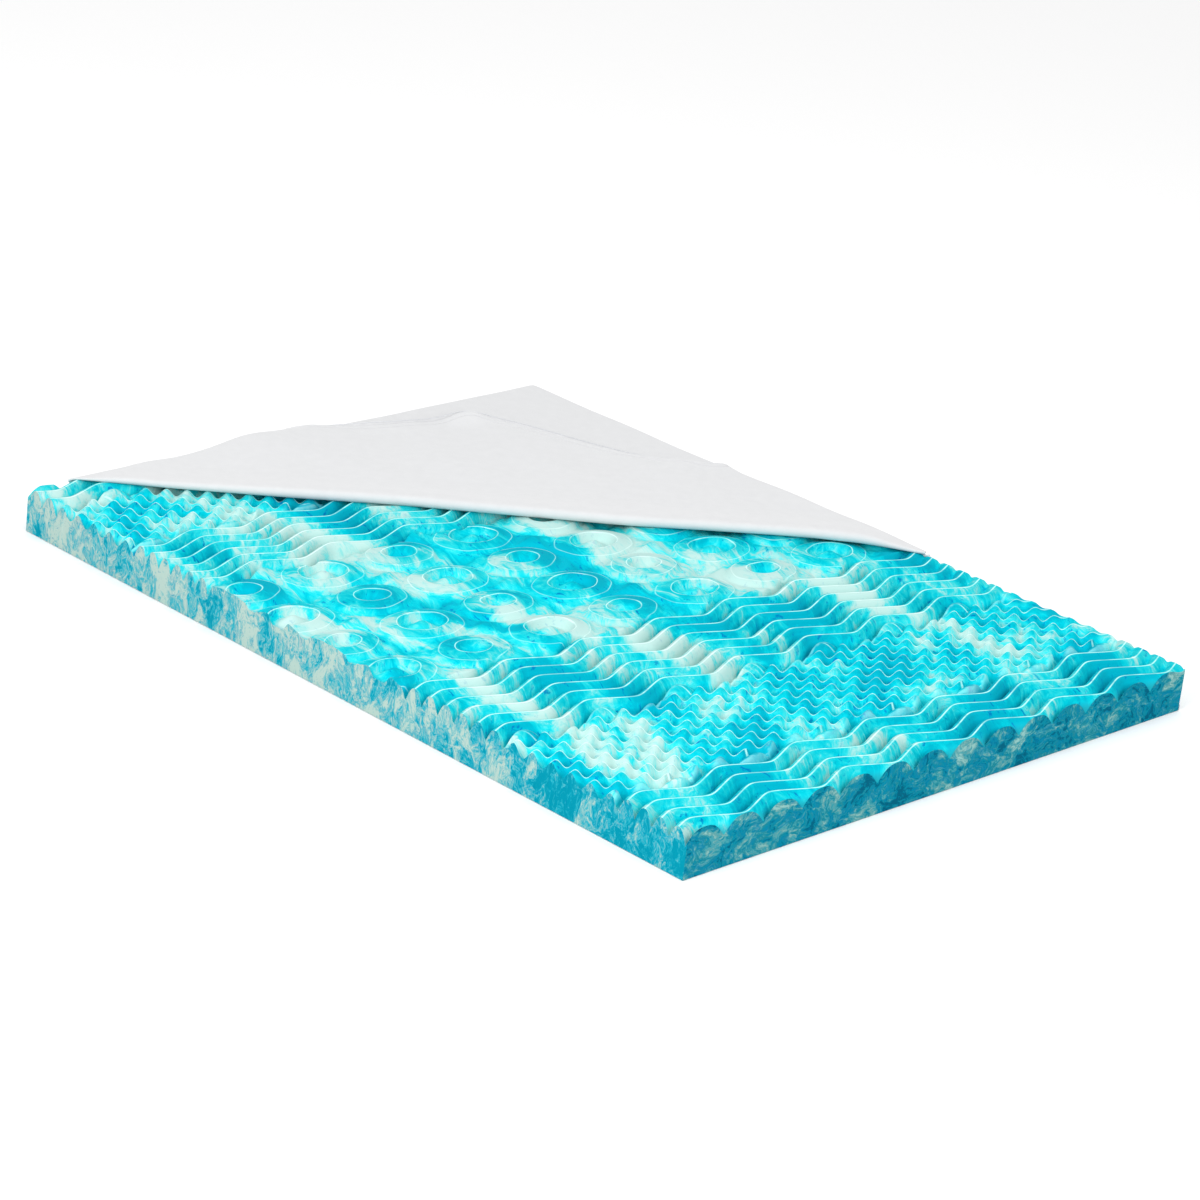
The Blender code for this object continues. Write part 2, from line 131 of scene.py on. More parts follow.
def stretched(tree, scale=(1, 1, 1), turn=0.0):
    coords = addNode(tree, "ShaderNodeTexCoord", {}).outputs["Object"]
    inputs = {"Vector": coords, "Rotation": (0, 0, radians(turn)), "Scale": scale}
    return addNode(tree, "ShaderNodeMapping", inputs).outputs["Vector"]


def placeAlong(tree):
    return addNode(tree, "ShaderNodeSeparateXYZ", {"Vector": stretched(tree)}).outputs["X"]


def surface(tree, shader, colour, grain, rough, bumps, strength, distance):
    # the colour, a roughness that one grain spreads between two values, and fine bumps
    inputs = {"Height": bumps, "Strength": strength, "Distance": distance}
    normal = addNode(tree, "ShaderNodeBump", inputs).outputs["Normal"]
    roughness = spread(tree, grain, 0.3, 0.7, *rough)
    for name, socket in (("Base Color", colour), ("Roughness", roughness), ("Normal", normal)):
        tree.links.new(socket, shader.inputs[name])


def newGroup(name, values, results):
    # a node group with named values and a vector going in, and named values coming out
    group = bpy.data.node_groups.new(name, "ShaderNodeTree")
    for socket, value in values.items():
        group.interface.new_socket(socket, in_out="INPUT", socket_type="NodeSocketFloat").default_value = value
    group.interface.new_socket("Vector", in_out="INPUT", socket_type="NodeSocketVector")
    for socket in results:
        group.interface.new_socket(socket, in_out="OUTPUT", socket_type="NodeSocketFloat")
    return group, group.nodes.new("NodeGroupInput").outputs, group.nodes.new("NodeGroupOutput").inputs


def standFor(piece, body, node):
    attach(piece, body)
    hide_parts(node)


def chooseOnly(piece):
    bpy.ops.object.select_all(action="DESELECT")
    bpy.context.view_layer.objects.active = piece
    piece.select_set(True)


# Light and floor
studio = {
    "world": 0.90,
    "floorSize": 40.0,
    "floorColour": (0.98, 0.98, 0.98),
    "lights": (
        ("keyLight", (1.6, -6.0, 3.8), 2.6, 230.0),
        ("topLight", (0.5, 0.5, 5.0), 4.0, 25.0),
        ("fillLight", (6.0, -1.6, 3.4), 3.0, 100.0),
    ),
}


def makeStudio():
    world = bpy.data.worlds.new("studioWorld")
    world.use_nodes = True
    background = world.node_tree.nodes["Background"]
    background.inputs["Color"].default_value = (1, 1, 1, 1)
    background.inputs["Strength"].default_value = studio["world"]
    bpy.context.scene.world = world
    for name, place, size, power in studio["lights"]:
        data = bpy.data.lights.new(name, "AREA")
        data.size = size
        data.energy = power
        lamp = bpy.data.objects.new(name, data)
        lamp.location = place
        lamp.rotation_euler = (-Vector(place)).to_track_quat("-Z", "Y").to_euler()
        bpy.context.scene.collection.objects.link(lamp)
    bpy.ops.mesh.primitive_plane_add(size=studio["floorSize"])
    floor = bpy.context.object
    floor.name = "studioFloor"
    material, tree, shader = newMaterial("studioFloor", 0.9)
    shader.inputs["Base Color"].default_value = (*studio["floorColour"], 1)
    floor.data.materials.append(material)


bpy.ops.object.select_all(action="DESELECT")
makeStudio()
print("studio ready")

# The foam slab: lengths in metres, strokes in millimetres from the far short side and the near long side
foam = {
    "length": 2.032,
    "width": 1.524,
    "bottom": 0.0018,
    "top": 0.1034,
    "cutDepth": 0.033,
    "cells": (560, 420),
    "zones": (("ribs", 0.048, 2), ("eggs", 0.136, 5), ("ribs", 0.122, 6), ("rings", 0.310, 4),
              ("ribs", 0.138, 6), ("eggs", 0.158, 6), ("ribs", 0.088, 4)),
    "waves": 7,
    "firstRow": 0.21,
    "swing": 0.019,
    "sharpness": 0.90,
    "ribBlend": 1.25,
    "eggRows": 3,  # egg periods to a wave
    "eggLow": 0.03,
    "eggBlend": 1.05,  # above 1 the hollows are wider than the peaks
    "moonReach": (0.028, 0.062),
    # shares of the way from a ring's centre to its rim, and the heights there
    "raisedRing": ((0, 0.16, 0.40, 0.76, 0.92, 1.0), (0.50, 0.40, 0.98, 0.84, 0.50, 0.52)),
    "sunkRing": ((0, 0.40, 0.56, 0.90, 1.0), (0.88, 0.34, 0.92, 0.70, 0.52)),
    "ringLevel": 0.52,
    "cornerLift": 0.44,
    "ringShift": (-0.008, -0.006),
    "borderValley": 0.013,
    # the painted highlight lines on the crests: in the rings the first line's place and the step to the next
    "raisedLines": (0.40, 0.36),
    "sunkLines": (0.56, 0.34),
    "lineWobble": (0.06, 83, 67),
    "lineReach": (0.3, 2.6),
    "lineClear": (0.8, 0.5),
    "ribBorder": (0.004, 0.008),
    "eggBorder": (0.014, 0.030),
    "ridgeSlope": 0.13,
    "ridgeBend": (25, 70),
    "sharpBend": (190, 350),
    "darkRim": ((0.992, 1.016, 0.75), (0.752, 0.762, 0.45)),
    "endTaper": 0.05,
    "farEase": (0.06, 0.75),  # the cut gets shallower towards the far long side
    "easeShort": (-0.74, -0.55),  # where the far short edge's rounding comes in
    "easeLong": (-0.32, -0.12),
    "roundShort": 0.023,  # under the cover, the far edges give way to its pull
    "roundLong": 0.009,
    "roundLeast": 0.002,
    "strokeWobble": (((0.012, 9, 41), (0.006, 0, 97)), ((0.014, 23, 5), (0.007, 61, -20))),
    "paleStrokes": (
        (48, ((606, 402), (877, 417), (1048, 464), (1229, 527))),
        (62, ((707, 860), (877, 982), (1048, 1026), (1250, 1069))),
        (45, ((1281, 1178), (1511, 1229), (1708, 1280))),
        (40, ((1281, 616), (1532, 628))),
        (45, ((1615, 299), (1822, 155))),
        (40, ((1250, 118), (1594, 174))),
        (35, ((814, 63), (963, 76))),
        (40, ((600, 300), (760, 220))),
        (60, ((152, 261), (384, 351))),
        (40, ((449, 396), (590, 418))),
        (45, ((1594, 1142), (1760, 1014))),
        (30, ((1906, 637), (1990, 675))),
        (35, ((73, 59), (130, 152))),
    ),
    "deepStrokes": (
        (45, ((952, 357), (1229, 415))),
        (60, ((1271, 289), (1511, 379))),
        (60, ((728, 797), (1218, 727))),
        (45, ((152, 120), (296, 71))),
        (60, ((1334, 1021), (1563, 908))),
        (55, ((1718, 515), (1906, 309))),
        (55, ((1822, 1434), (2011, 1353))),
        (50, ((340, 476), (535, 504))),
        (45, ((633, 549), (707, 470))),
        (35, ((654, 97), (707, 65))),
        (40, ((1511, 51), (1812, 30))),
        (45, ((1292, 1443), (1407, 1488))),
        (50, ((1885, 1059), (1990, 870))),
        (40, ((1122, 260), (1207, 243))),
        (80, ((1650, 1000), (1830, 760))),
        (60, ((1600, 760), (1720, 640))),
        (50, ((1300, 760), (1500, 800))),
    ),
}


def smooth(value, low, high):
    share = np.clip((value - low) / (high - low), 0, 1)
    return share * share * (3 - 2 * share)


def eased(value, places, heights):
    # between the given heights with a level tangent at each
    result = np.full(value.shape, float(heights[0]))
    for k in range(len(places) - 1):
        result += smooth(value, places[k], places[k + 1]) * (heights[k + 1] - heights[k])
    return result


wavePitch = foam["width"] / foam["waves"]
firstRow = foam["firstRow"] * wavePitch
zoneEdges = [0.0]
for _, share, _ in foam["zones"]:
    zoneEdges.append(zoneEdges[-1] + share * foam["length"])
ringZone = [kind for kind, _, _ in foam["zones"]].index("rings")
ringCount = foam["zones"][ringZone][2]
ringStart, ringEnd = zoneEdges[ringZone], zoneEdges[ringZone + 1]


def waveAcross(v):
    sharp = foam["sharpness"]
    return np.arcsin(sharp * np.cos(2 * np.pi * (v - firstRow) / wavePitch)) / np.arcsin(sharp)


def swingAt(u):
    return foam["swing"] * (1 - 2 * smooth(u, ringStart, ringEnd))


def ribHeight(phase):
    return 1 - (1 - np.abs(np.sin(np.pi * phase))) ** foam["ribBlend"]


def eggHeight(u, v, start, end, count, swing):
    # a straight lattice, with a longer hill in each gap that the wavy borders leave
    pitchAcross = wavePitch / foam["eggRows"]
    lattice = 0.5 + 0.5 * (np.cos(2 * np.pi * (u - start) * count / (end - start))
                           * np.cos(2 * np.pi * (v - firstRow) / pitchAcross))
    reachX, reachY = foam["moonReach"]
    height = foam["eggLow"] + (1 - foam["eggLow"]) * lattice ** foam["eggBlend"]
    for edge, side in ((start, 1), (end, -1)):
        shift = 0.0 if side * swing < 0 else 0.5
        off = (v - firstRow) / wavePitch - shift
        off = (off - np.round(off)) * wavePitch
        away = ((u - edge) / reachX) ** 2 + (off / reachY) ** 2
        hill = np.cos(np.pi / 2 * np.sqrt(np.clip(away, 0, 1)))
        near = smooth(away, 1.0, 0.55)
        height = height * (1 - near) + np.maximum(height * (1 - near), hill) * near
    return height


def ringPlace(u, v):
    # share of the way from the nearest ring's centre to its rim, whether it is a raised one, and the place in rings
    columns = (u - foam["ringShift"][0] - ringStart) * ringCount / (ringEnd - ringStart)
    rows = (v - foam["ringShift"][1] - firstRow) / wavePitch
    column = np.clip(np.floor(columns), 0, ringCount - 1)
    row = np.round(rows)
    away = np.hypot(2 * (columns - column - 0.5), 2 * (rows - row))
    return away, (column + row) % 2 == 0, columns, rows


def ringHeight(u, v):
    away, raised, columns, rows = ringPlace(u, v)
    inside = np.where(raised, eased(away, *foam["raisedRing"]), eased(away, *foam["sunkRing"]))
    cornerSign = np.where((np.round(columns) + np.floor(rows) + 1) % 2 == 0, -1.0, 1.0)
    outside = foam["ringLevel"] + foam["cornerLift"] * cornerSign * smooth(away, 1.0, 1.41)
    return np.where(away < 1, inside, outside)


def zoneShapes(u, v):
    # each zone with the swing of its borders and how far a place is from them
    wave = waveAcross(v)
    last = len(foam["zones"]) - 1
    for k, (kind, _, count) in enumerate(foam["zones"]):
        start, end = zoneEdges[k], zoneEdges[k + 1]
        startSwing = foam["swing"] * (1 if k <= ringZone else -1)
        endSwing = foam["swing"] * (1 if k < ringZone else -1)
        low = u - start - startSwing * wave
        high = end + endSwing * wave - u
        if k == 0:
            low = np.full(high.shape, 9.0)
        if k == last:
            high = np.full(low.shape, 1.0)
        yield kind, count, start, end, startSwing, np.minimum(low, high), (low >= 0) & (high > 0)


def ribPhase(u, v, start, end, count, swing):
    return (u - swing * waveAcross(v) - start) * count / (end - start)


def foamHeight(u, v):
    # share of the cut depth at a place from the far short side and the near long side
    height = np.zeros(np.broadcast(u, v).shape)
    for kind, count, start, end, swing, border, inside in zoneShapes(u, v):
        if kind == "ribs":
            zone = ribHeight(ribPhase(u, v, start, end, count, swing))
        elif kind == "eggs":
            zone = eggHeight(u, v, start, end, count, swing)
        else:
            zone = ringHeight(u, v)
        if kind != "ribs":
            zone = zone * smooth(border, 0, foam["borderValley"])
        height = np.where(inside, zone, height)
    return height


def crestLines(u, v):
    # a value that is whole along each of the crests, how clearly each shows, and where the longer hills lie: masks
    # for the painted highlight lines
    phase = np.full(np.broadcast(u, v).shape, 0.5)
    clear, hills = np.zeros(phase.shape), np.zeros(phase.shape)
    wobble, wobbleU, wobbleV = foam["lineWobble"]
    for kind, count, start, end, swing, border, inside in zoneShapes(u, v):
        if kind == "ribs":
            value = ribPhase(u, v, start, end, count, swing) - 0.5
            edge = smooth(border, *foam["ribBorder"])
        elif kind == "eggs":
            value = (u - start) * count / (end - start) - (v - firstRow) * foam["eggRows"] / wavePitch
            edge = smooth(border, *foam["eggBorder"])
            hills = np.where(inside, 1 - edge, hills)
        else:
            away, raised, _, _ = ringPlace(u, v)
            lines = [1 + (away - first) / step for first, step in (foam["raisedLines"], foam["sunkLines"])]
            value = np.where(raised, *lines) + wobble * np.sin(wobbleU * u + 2) * np.sin(wobbleV * v + 1)
            value = np.clip(value, *foam["lineReach"])
            first, second = foam["lineClear"]
            edge = smooth(border, 0, foam["borderValley"]) * np.where(value > 1.5, second, first)
        phase = np.where(inside, value, phase)
        clear = np.where(inside, edge, clear)
    return phase, clear, hills


def edgeRounding(x, y):
    # radius of the bend over the far short side and over the far long side
    short = foam["roundLeast"] + foam["roundShort"] * smooth(y, *foam["easeShort"])
    long = foam["roundLeast"] + foam["roundLong"] * smooth(-x, *foam["easeLong"])
    return short, long


def foamCap(x, y):
    # the highest that the foam may reach at a place, rounded over its far edges
    short, long = edgeRounding(x, y)
    high = np.full(x.shape, foam["top"])
    for value, edge, radius in ((-x, foam["length"] / 2, short), (y, foam["width"] / 2, long)):
        over = np.clip(value - (edge - radius), 0, radius)
        high = high - radius + np.sqrt(radius ** 2 - over ** 2)
    return high


def strokeField(u, v, strokes):
    # 1 along the middle of each stroke, falling off with the distance from it
    shifted = []
    for value, waves in zip((u, v), foam["strokeWobble"]):
        shifted.append(value + sum(size * np.sin(alongU * u + alongV * v) for size, alongU, alongV in waves))
    field = np.zeros(u.shape)
    for width, points in strokes:
        best = np.full(u.shape, 9.0)
        for first, second in zip(points, points[1:]):
            startPoint = np.array(first) * mm
            span = np.array(second) * mm - startPoint
            offU, offV = shifted[0] - startPoint[0], shifted[1] - startPoint[1]
            share = np.clip((offU * span[0] + offV * span[1]) / (span @ span), 0, 1)
            best = np.minimum(best, np.hypot(offU - share * span[0], offV - share * span[1]))
        field = np.maximum(field, np.exp(-(best / (width * mm)) ** 2))
    return field


def crestField(u, v):
    # 1 on the ridges, from the slope and the curvature across the sharpest bend: the mask for the painted highlight
    # on the hills' ridges
    step = 2.5 * mm
    depth = foam["cutDepth"]
    middle = foamHeight(u, v)
    east, west = foamHeight(u + step, v), foamHeight(u - step, v)
    north, south = foamHeight(u, v + step), foamHeight(u, v - step)
    corners = (foamHeight(u + step, v + step) - foamHeight(u + step, v - step)
               - foamHeight(u - step, v + step) + foamHeight(u - step, v - step))
    slopeU, slopeV = (east - west) * depth / (2 * step), (north - south) * depth / (2 * step)
    bendU = (east - 2 * middle + west) * depth / step ** 2
    bendV = (north - 2 * middle + south) * depth / step ** 2
    bendUV = corners * depth / (4 * step ** 2)
    mean, half = (bendU + bendV) / 2, (bendU - bendV) / 2
    least = mean - np.hypot(half, bendUV)
    turn = 0.5 * np.arctan2(bendUV, half) + np.pi / 2
    slope = slopeU * np.cos(turn) + slopeV * np.sin(turn)
    flat = np.exp(-(slope / foam["ridgeSlope"]) ** 2)
    return np.maximum(flat * smooth(-least, *foam["ridgeBend"]), 0.7 * smooth(-least, *foam["sharpBend"]))


def makeFoam():
    bpy.ops.mesh.primitive_grid_add(x_subdivisions=foam["cells"][0], y_subdivisions=foam["cells"][1], size=1)
    piece = bpy.context.object
    piece.name = "foamSlab"
    mesh = piece.data
    spots = np.empty(len(mesh.vertices) * 3)
    mesh.vertices.foreach_get("co", spots)
    spots = spots.reshape(-1, 3)
    u = (spots[:, 0] + 0.5) * foam["length"]
    v = (spots[:, 1] + 0.5) * foam["width"]
    ends = smooth(np.minimum(u, foam["length"] - u), 0, foam["endTaper"])
    u = u + swingAt(u) * waveAcross(v) * ends
    height = foamHeight(u, v)
    reach, share = foam["farEase"]
    height = 1 - (1 - height) * (1 - share * smooth(v, foam["width"] - reach, foam["width"]))
    spots[:, 0] = u - foam["length"] / 2
    spots[:, 1] = v - foam["width"] / 2
    cut = foam["top"] - foam["cutDepth"] * (1 - height)
    spots[:, 2] = np.minimum(cut, foamCap(spots[:, 0], spots[:, 1]))
    mesh.vertices.foreach_set("co", spots.ravel())
    rims = [strength * smooth(value, low, high)
            for value, (low, high, strength) in zip((spots[:, 0], -spots[:, 1]), foam["darkRim"])]
    # masks for the painted highlight lines along the crests and the hills' ridges
    phase, clear, hills = crestLines(u, v)
    fields = {
        "height": height,
        "hillCrestHighlight": crestField(u, v) * hills,
        "phase": phase,
        "clear": clear,
        "rim": np.maximum(*rims) * smooth(-height, -0.9, -0.3),
        "pale": strokeField(u, v, foam["paleStrokes"]),
        "deep": strokeField(u, v, foam["deepStrokes"]),
    }
    for name, values in fields.items():
        mesh.attributes.new(name, "FLOAT", "POINT").data.foreach_set("value", values.astype(np.float32))
    bpy.ops.object.mode_set(mode="EDIT")
    bpy.ops.mesh.select_mode(type="EDGE")
    bpy.ops.mesh.select_all(action="DESELECT")
    bpy.ops.mesh.select_non_manifold()
    bpy.ops.mesh.extrude_region_move(TRANSFORM_OT_translate={"value": (0, 0, -foam["top"])})
    bpy.ops.object.mode_set(mode="OBJECT")
    for vert in mesh.vertices:
        if vert.co.z < foam["bottom"]:
            vert.co.z = foam["bottom"]
    bpy.ops.object.mode_set(mode="EDIT")
    bpy.ops.mesh.fill(use_beauty=True)
    bpy.ops.mesh.select_all(action="SELECT")
    bpy.ops.mesh.normals_make_consistent(inside=False)
    bpy.ops.object.mode_set(mode="OBJECT")
    bpy.ops.object.shade_smooth_by_angle(angle=radians(60))
    return piece


def gelGroup():
    # blotches of two sizes in a warped space, small dark flecks, and thin veins
    group, inside, outside = newGroup("gelSwirl", {"Scale": 6.0, "Warp": 0.25, "Fine": 0.3},
                                      ("Tone", "Fleck", "Vein"))
    kind = "ShaderNodeVectorMath"
    drift = noise(group, inside["Vector"], inside["Scale"], 3.0)["Color"]
    centred = addNode(group, kind, {0: drift, 1: (0.5, 0.5, 0.5)}, operation="SUBTRACT").outputs[0]
    pushed = addNode(group, kind, {0: centred, "Scale": inside["Warp"]}, operation="SCALE").outputs[0]
    warped = addNode(group, kind, {0: inside["Vector"], 1: pushed}, operation="ADD").outputs[0]
    broad = noise(group, warped, inside["Scale"], 6.0, 0.60)["Fac"]
    fine = noise(group, warped, maths(group, "MULTIPLY", inside["Scale"], 5.3), 6.0, 0.72, 0.8)["Fac"]
    fineShift = maths(group, "MULTIPLY", maths(group, "SUBTRACT", fine, 0.5), inside["Fine"])
    group.links.new(maths(group, "ADD", broad, fineShift), outside["Tone"])
    fleck = noise(group, warped, maths(group, "MULTIPLY", inside["Scale"], 9.0), 4.0, 0.7)["Fac"]
    group.links.new(spread(group, fleck, 0.595, 0.66), outside["Fleck"])
    line = maths(group, "ABSOLUTE", maths(group, "SUBTRACT", broad, 0.5))
    group.links.new(spread(group, line, 0.022, 0.004), outside["Vein"])
    return group


gelTop = {
    "swirl": {"Scale": 6.0, "Warp": 0.20, "Fine": 0.55},
    "stretch": (0.65, 1.25, 0.9),
    "turn": -8,  # degrees
    "strokes": 0.19,  # how much the placed strokes count
    "shift": (-0.9, 0.9, 0.022, -0.03),  # paler towards the far short side
    "fleck": (0.0, 0.17, 0.42),
    # painted highlight colours for the lines along the crests, on dark tones and on pale tones
    "crest": (0.50, 0.95, 0.90),
    "paintedPaleCrestHighlight": (0.72, 0.95, 0.91),
    "rim": (0.015, 0.30, 0.37),
    "paintedFlankLight": (1.22, 1.2, 1.18),  # painted light: the flanks' colour is made brighter, standing in for light that the gel passes on
    "line": (0.055, 0.012),
    "highlightBreakScale": 26.0,
    "cells": 420.0,
    "stops": ((0.345, (0.0, 0.37, 0.48)), (0.43, (0.0, 0.48, 0.565)), (0.50, (0.02, 0.555, 0.60)),
              (0.54, (0.09, 0.585, 0.61)), (0.585, (0.28, 0.625, 0.61)), (0.665, (0.45, 0.665, 0.635))),
}


def foamTopMaterial(group):
    look = gelTop
    material, tree, shader = newMaterial("gelFoamCutFace", 0.9, gloss=0.03)
    inputs = {"Vector": stretched(tree, look["stretch"], look["turn"]), **look["swirl"]}
    swirl = addNode(tree, "ShaderNodeGroup", inputs, node_tree=group).outputs
    placed = maths(tree, "SUBTRACT", attribute(tree, "pale"), attribute(tree, "deep"))
    tone = maths(tree, "MULTIPLY_ADD", placed, look["strokes"], swirl["Tone"])
    tone = maths(tree, "ADD", tone, spread(tree, placeAlong(tree), *look["shift"]))
    colour = ramp(tree, tone, look["stops"])
    flecked = maths(tree, "MULTIPLY", swirl["Fleck"], spread(tree, tone, 0.60, 0.42, 0.2, 0.9))
    colour = mixColour(tree, flecked, colour, look["fleck"])
    height = attribute(tree, "height")
    # painted light: the flanks between the valley bottoms and the tops are brightened, less so in pale tones
    paintedFlankLight = maths(tree, "MULTIPLY", spread(tree, height, 0.9, 0.6), spread(tree, height, 0.12, 0.5))
    paintedFlankLight = maths(tree, "MULTIPLY", paintedFlankLight, spread(tree, tone, 0.60, 0.52, 0.15, 1.0))
    colour = mixColour(tree, paintedFlankLight, colour, look["paintedFlankLight"], "MULTIPLY")
    colour = mixColour(tree, attribute(tree, "rim"), colour, look["rim"])
    # painted highlight: pale lines along the crests and the hills' ridges, made patchy by noise
    highlightBreakNoise = noise(tree, stretched(tree), look["highlightBreakScale"], 3.0)["Fac"]
    phase = attribute(tree, "phase")
    away = maths(tree, "ABSOLUTE", maths(tree, "SUBTRACT", phase, maths(tree, "ROUND", phase)))
    line = maths(tree, "MULTIPLY", spread(tree, away, *look["line"]), attribute(tree, "clear"))
    line = maths(tree, "MAXIMUM", line, maths(tree, "MULTIPLY", attribute(tree, "hillCrestHighlight"), 0.5))
    line = maths(tree, "MULTIPLY", line, spread(tree, highlightBreakNoise, 0.35, 0.6, 0.5, 1.0))
    crest = mixColour(tree, spread(tree, tone, 0.52, 0.60), look["crest"], look["paintedPaleCrestHighlight"])
    colour = mixColour(tree, line, colour, crest)
    cells = noise(tree, stretched(tree), look["cells"], 2.0)["Fac"]
    surface(tree, shader, colour, cells, (0.78, 0.92), cells, 0.25, 0.0008)
    return material


# the gel on the slab's sides: stops darker than the top's, darkest on the short sides and underside; partly the
# gel's own colour on its sides, partly painted shade
gelSides = {
    "gelFoamLongSideWithPaintedShade": {
        "swirl": {"Scale": 14.0, "Warp": 0.12, "Fine": 0.85},
        "stretch": (1.3, 1.0, 0.8),
        "marks": {"Vein": 0.2, "Fleck": 0.6},
        "shift": (0.75, -0.15, -0.045, 0.066),  # less cream near the corner, more towards the far end
        "stops": ((0.37, (0.0, 0.23, 0.32)), (0.44, (0.01, 0.32, 0.41)), (0.50, (0.085, 0.36, 0.41)),
                  (0.55, (0.18, 0.40, 0.405)), (0.63, (0.36, 0.48, 0.435))),
    },
    "gelFoamShortSideWithPaintedShade": {
        "swirl": {"Scale": 11.0, "Warp": 0.12, "Fine": 0.7},
        "stretch": (1.0, 0.9, 1.25),
        "marks": {"Vein": 0.5, "Fleck": 0.5},
        "shift": (-0.76, 0.76, 0.0, 0.0),
        "stops": ((0.40, (0.0, 0.10, 0.17)), (0.46, (0.0, 0.22, 0.32)), (0.51, (0.01, 0.18, 0.225)),
                  (0.56, (0.04, 0.29, 0.345)), (0.61, (0.10, 0.28, 0.285)), (0.67, (0.23, 0.45, 0.43))),
    },
}
sideMark = (0.0, 0.18, 0.33)
sideCells = 300.0


def foamSideMaterial(name, group):
    look = gelSides[name]
    material, tree, shader = newMaterial(name, 0.9, gloss=0.03)
    inputs = {"Vector": stretched(tree, look["stretch"]), **look["swirl"]}
    swirl = addNode(tree, "ShaderNodeGroup", inputs, node_tree=group).outputs
    tone = maths(tree, "ADD", swirl["Tone"], spread(tree, placeAlong(tree), *look["shift"]))
    # the side stops carry painted shade as well as the gel's colour
    colour = ramp(tree, tone, look["stops"])
    for mark, strength in look["marks"].items():
        colour = mixColour(tree, maths(tree, "MULTIPLY", swirl[mark], strength), colour, sideMark)
    cells = noise(tree, stretched(tree), sideCells, 3.0)["Fac"]
    surface(tree, shader, colour, cells, (0.8, 0.95), cells, 0.35, 0.001)
    return material


foamSlab = makeFoam()
gelSwirl = gelGroup()
foamSlab.data.materials.append(foamTopMaterial(gelSwirl))
for sideName in gelSides:
    foamSlab.data.materials.append(foamSideMaterial(sideName, gelSwirl))
for face in foamSlab.data.polygons:
    if abs(face.normal.y) > 0.99:
        face.material_index = 1
    elif abs(face.normal.x) > 0.999 or face.normal.z < -0.9:
        face.material_index = 2
standFor(foamSlab, "topper", "foam_core")
print("foam ready")

# The cover: where the cloth lies, and how it is bent over the slab's two far edges
cover = {
    "cloth": 0.0015,
    "gap": 0.0003,
    "foldLeft": (-1.016, -0.65836),
    "foldRight": (0.29464, 0.762),
    "foldFront": ((-0.06, 0.004), (0.017, 0.002), (0.222, -0.006), (0.5165, -0.001), (0.738, 0.013),
                  (0.9175, 0.011), (1.131, 0.011), (1.243, 0.010), (1.4136, 0.024), (1.6415, 0.038),
                  (1.80, 0.030), (1.943, 0.000), (2.0, -0.006)),
    "foldRadius": 0.0115,
    "foldReach": 1.25,  # how far the roll stands out, against its radius
    "rollTips": ((0.25, 0.01, 0.16), (0.6, 0.1, 0.6)),  # the roll's least share, and where it has its full radius
    "settle": 0.085,  # how soon the upper layer comes down behind the roll
    "layerGap": 0.0012,
    "sag": 0.0008,
    # how much a ripple turns with the way along and behind the fold, its length, start and strength
    "ripples": ((1.0, 0.6, 0.26, 1.5, 1.0), (1.0, -1.1, 0.41, 0.0, 0.6), (0.5, 1.0, 0.17, 0.7, 0.5)),
    "rippleHeight": 0.0036,
    # a hump's place, height and reach: the main one, the free edge's lifted lobe, and a small fold
    "mainHump": (-1.016, -0.118, 0.0165, 0.19, 0.125),
    "smallHumps": ((-0.885, 0.43, 0.016, 0.05, 0.06), (-0.40, 0.685, 0.009, 0.035, 0.05)),
    "edgeLift": (0.0026, 0.035),
    "freeEdge": ((-1.075, -0.15), (-1.016, -0.0122), (-0.9735, 0.1), (-0.9144, 0.2316), (-0.893, 0.33),
                 (-0.886, 0.3962), (-0.868, 0.435), (-0.8047, 0.4801), (-0.72, 0.515), (-0.638, 0.5426),
                 (-0.508, 0.5913), (-0.4227, 0.6477), (-0.370, 0.71), (-0.3434, 0.762), (-0.318, 0.83)),
    "stations": 300,
    "rows": 110,
    "rollRows": 16,
}
skin = cover["gap"] + cover["cloth"] / 2
halfLength, halfWidth = foam["length"] / 2, foam["width"] / 2
foldLeft, foldRight = np.array(cover["foldLeft"]), np.array(cover["foldRight"])
alongFold = (foldRight - foldLeft) / np.linalg.norm(foldRight - foldLeft)
behindFold = np.array((-alongFold[1], alongFold[0]))


def drape(x, y, lift):
    # flat places on the slab's top, bent down over its far edges
    short, long = edgeRounding(x, y)
    z = foam["top"] + skin + lift
    placed = []
    for value, sign, edge, radius in ((x, -1, halfLength, short), (y, 1, halfWidth, long)):
        reach = radius + skin
        over = np.maximum(sign * value - (edge - radius), 0)
        turn = np.minimum(over / reach, np.pi / 2)
        bent = sign * (edge - radius + (reach + lift) * np.sin(turn))
        placed.append(np.where(over > 0, bent, value))
        z = z - (reach + lift) * (1 - np.cos(turn)) - np.maximum(over - reach * np.pi / 2, 0)
    return np.stack((placed[0], placed[1], z), axis=-1)


def flatLimits(x, y, turn=np.pi / 2):
    # the flat places where the bend over each far edge has turned by that much
    short, long = edgeRounding(x, y)
    return (-(halfLength - short + (short + skin) * turn), halfWidth - long + (long + skin) * turn)


def softened(values, width):
    kernel = np.exp(-np.linspace(-2, 2, width) ** 2)
    padded = np.pad(values, width, mode="edge")
    return np.convolve(padded, kernel / kernel.sum(), mode="same")[width:-width]


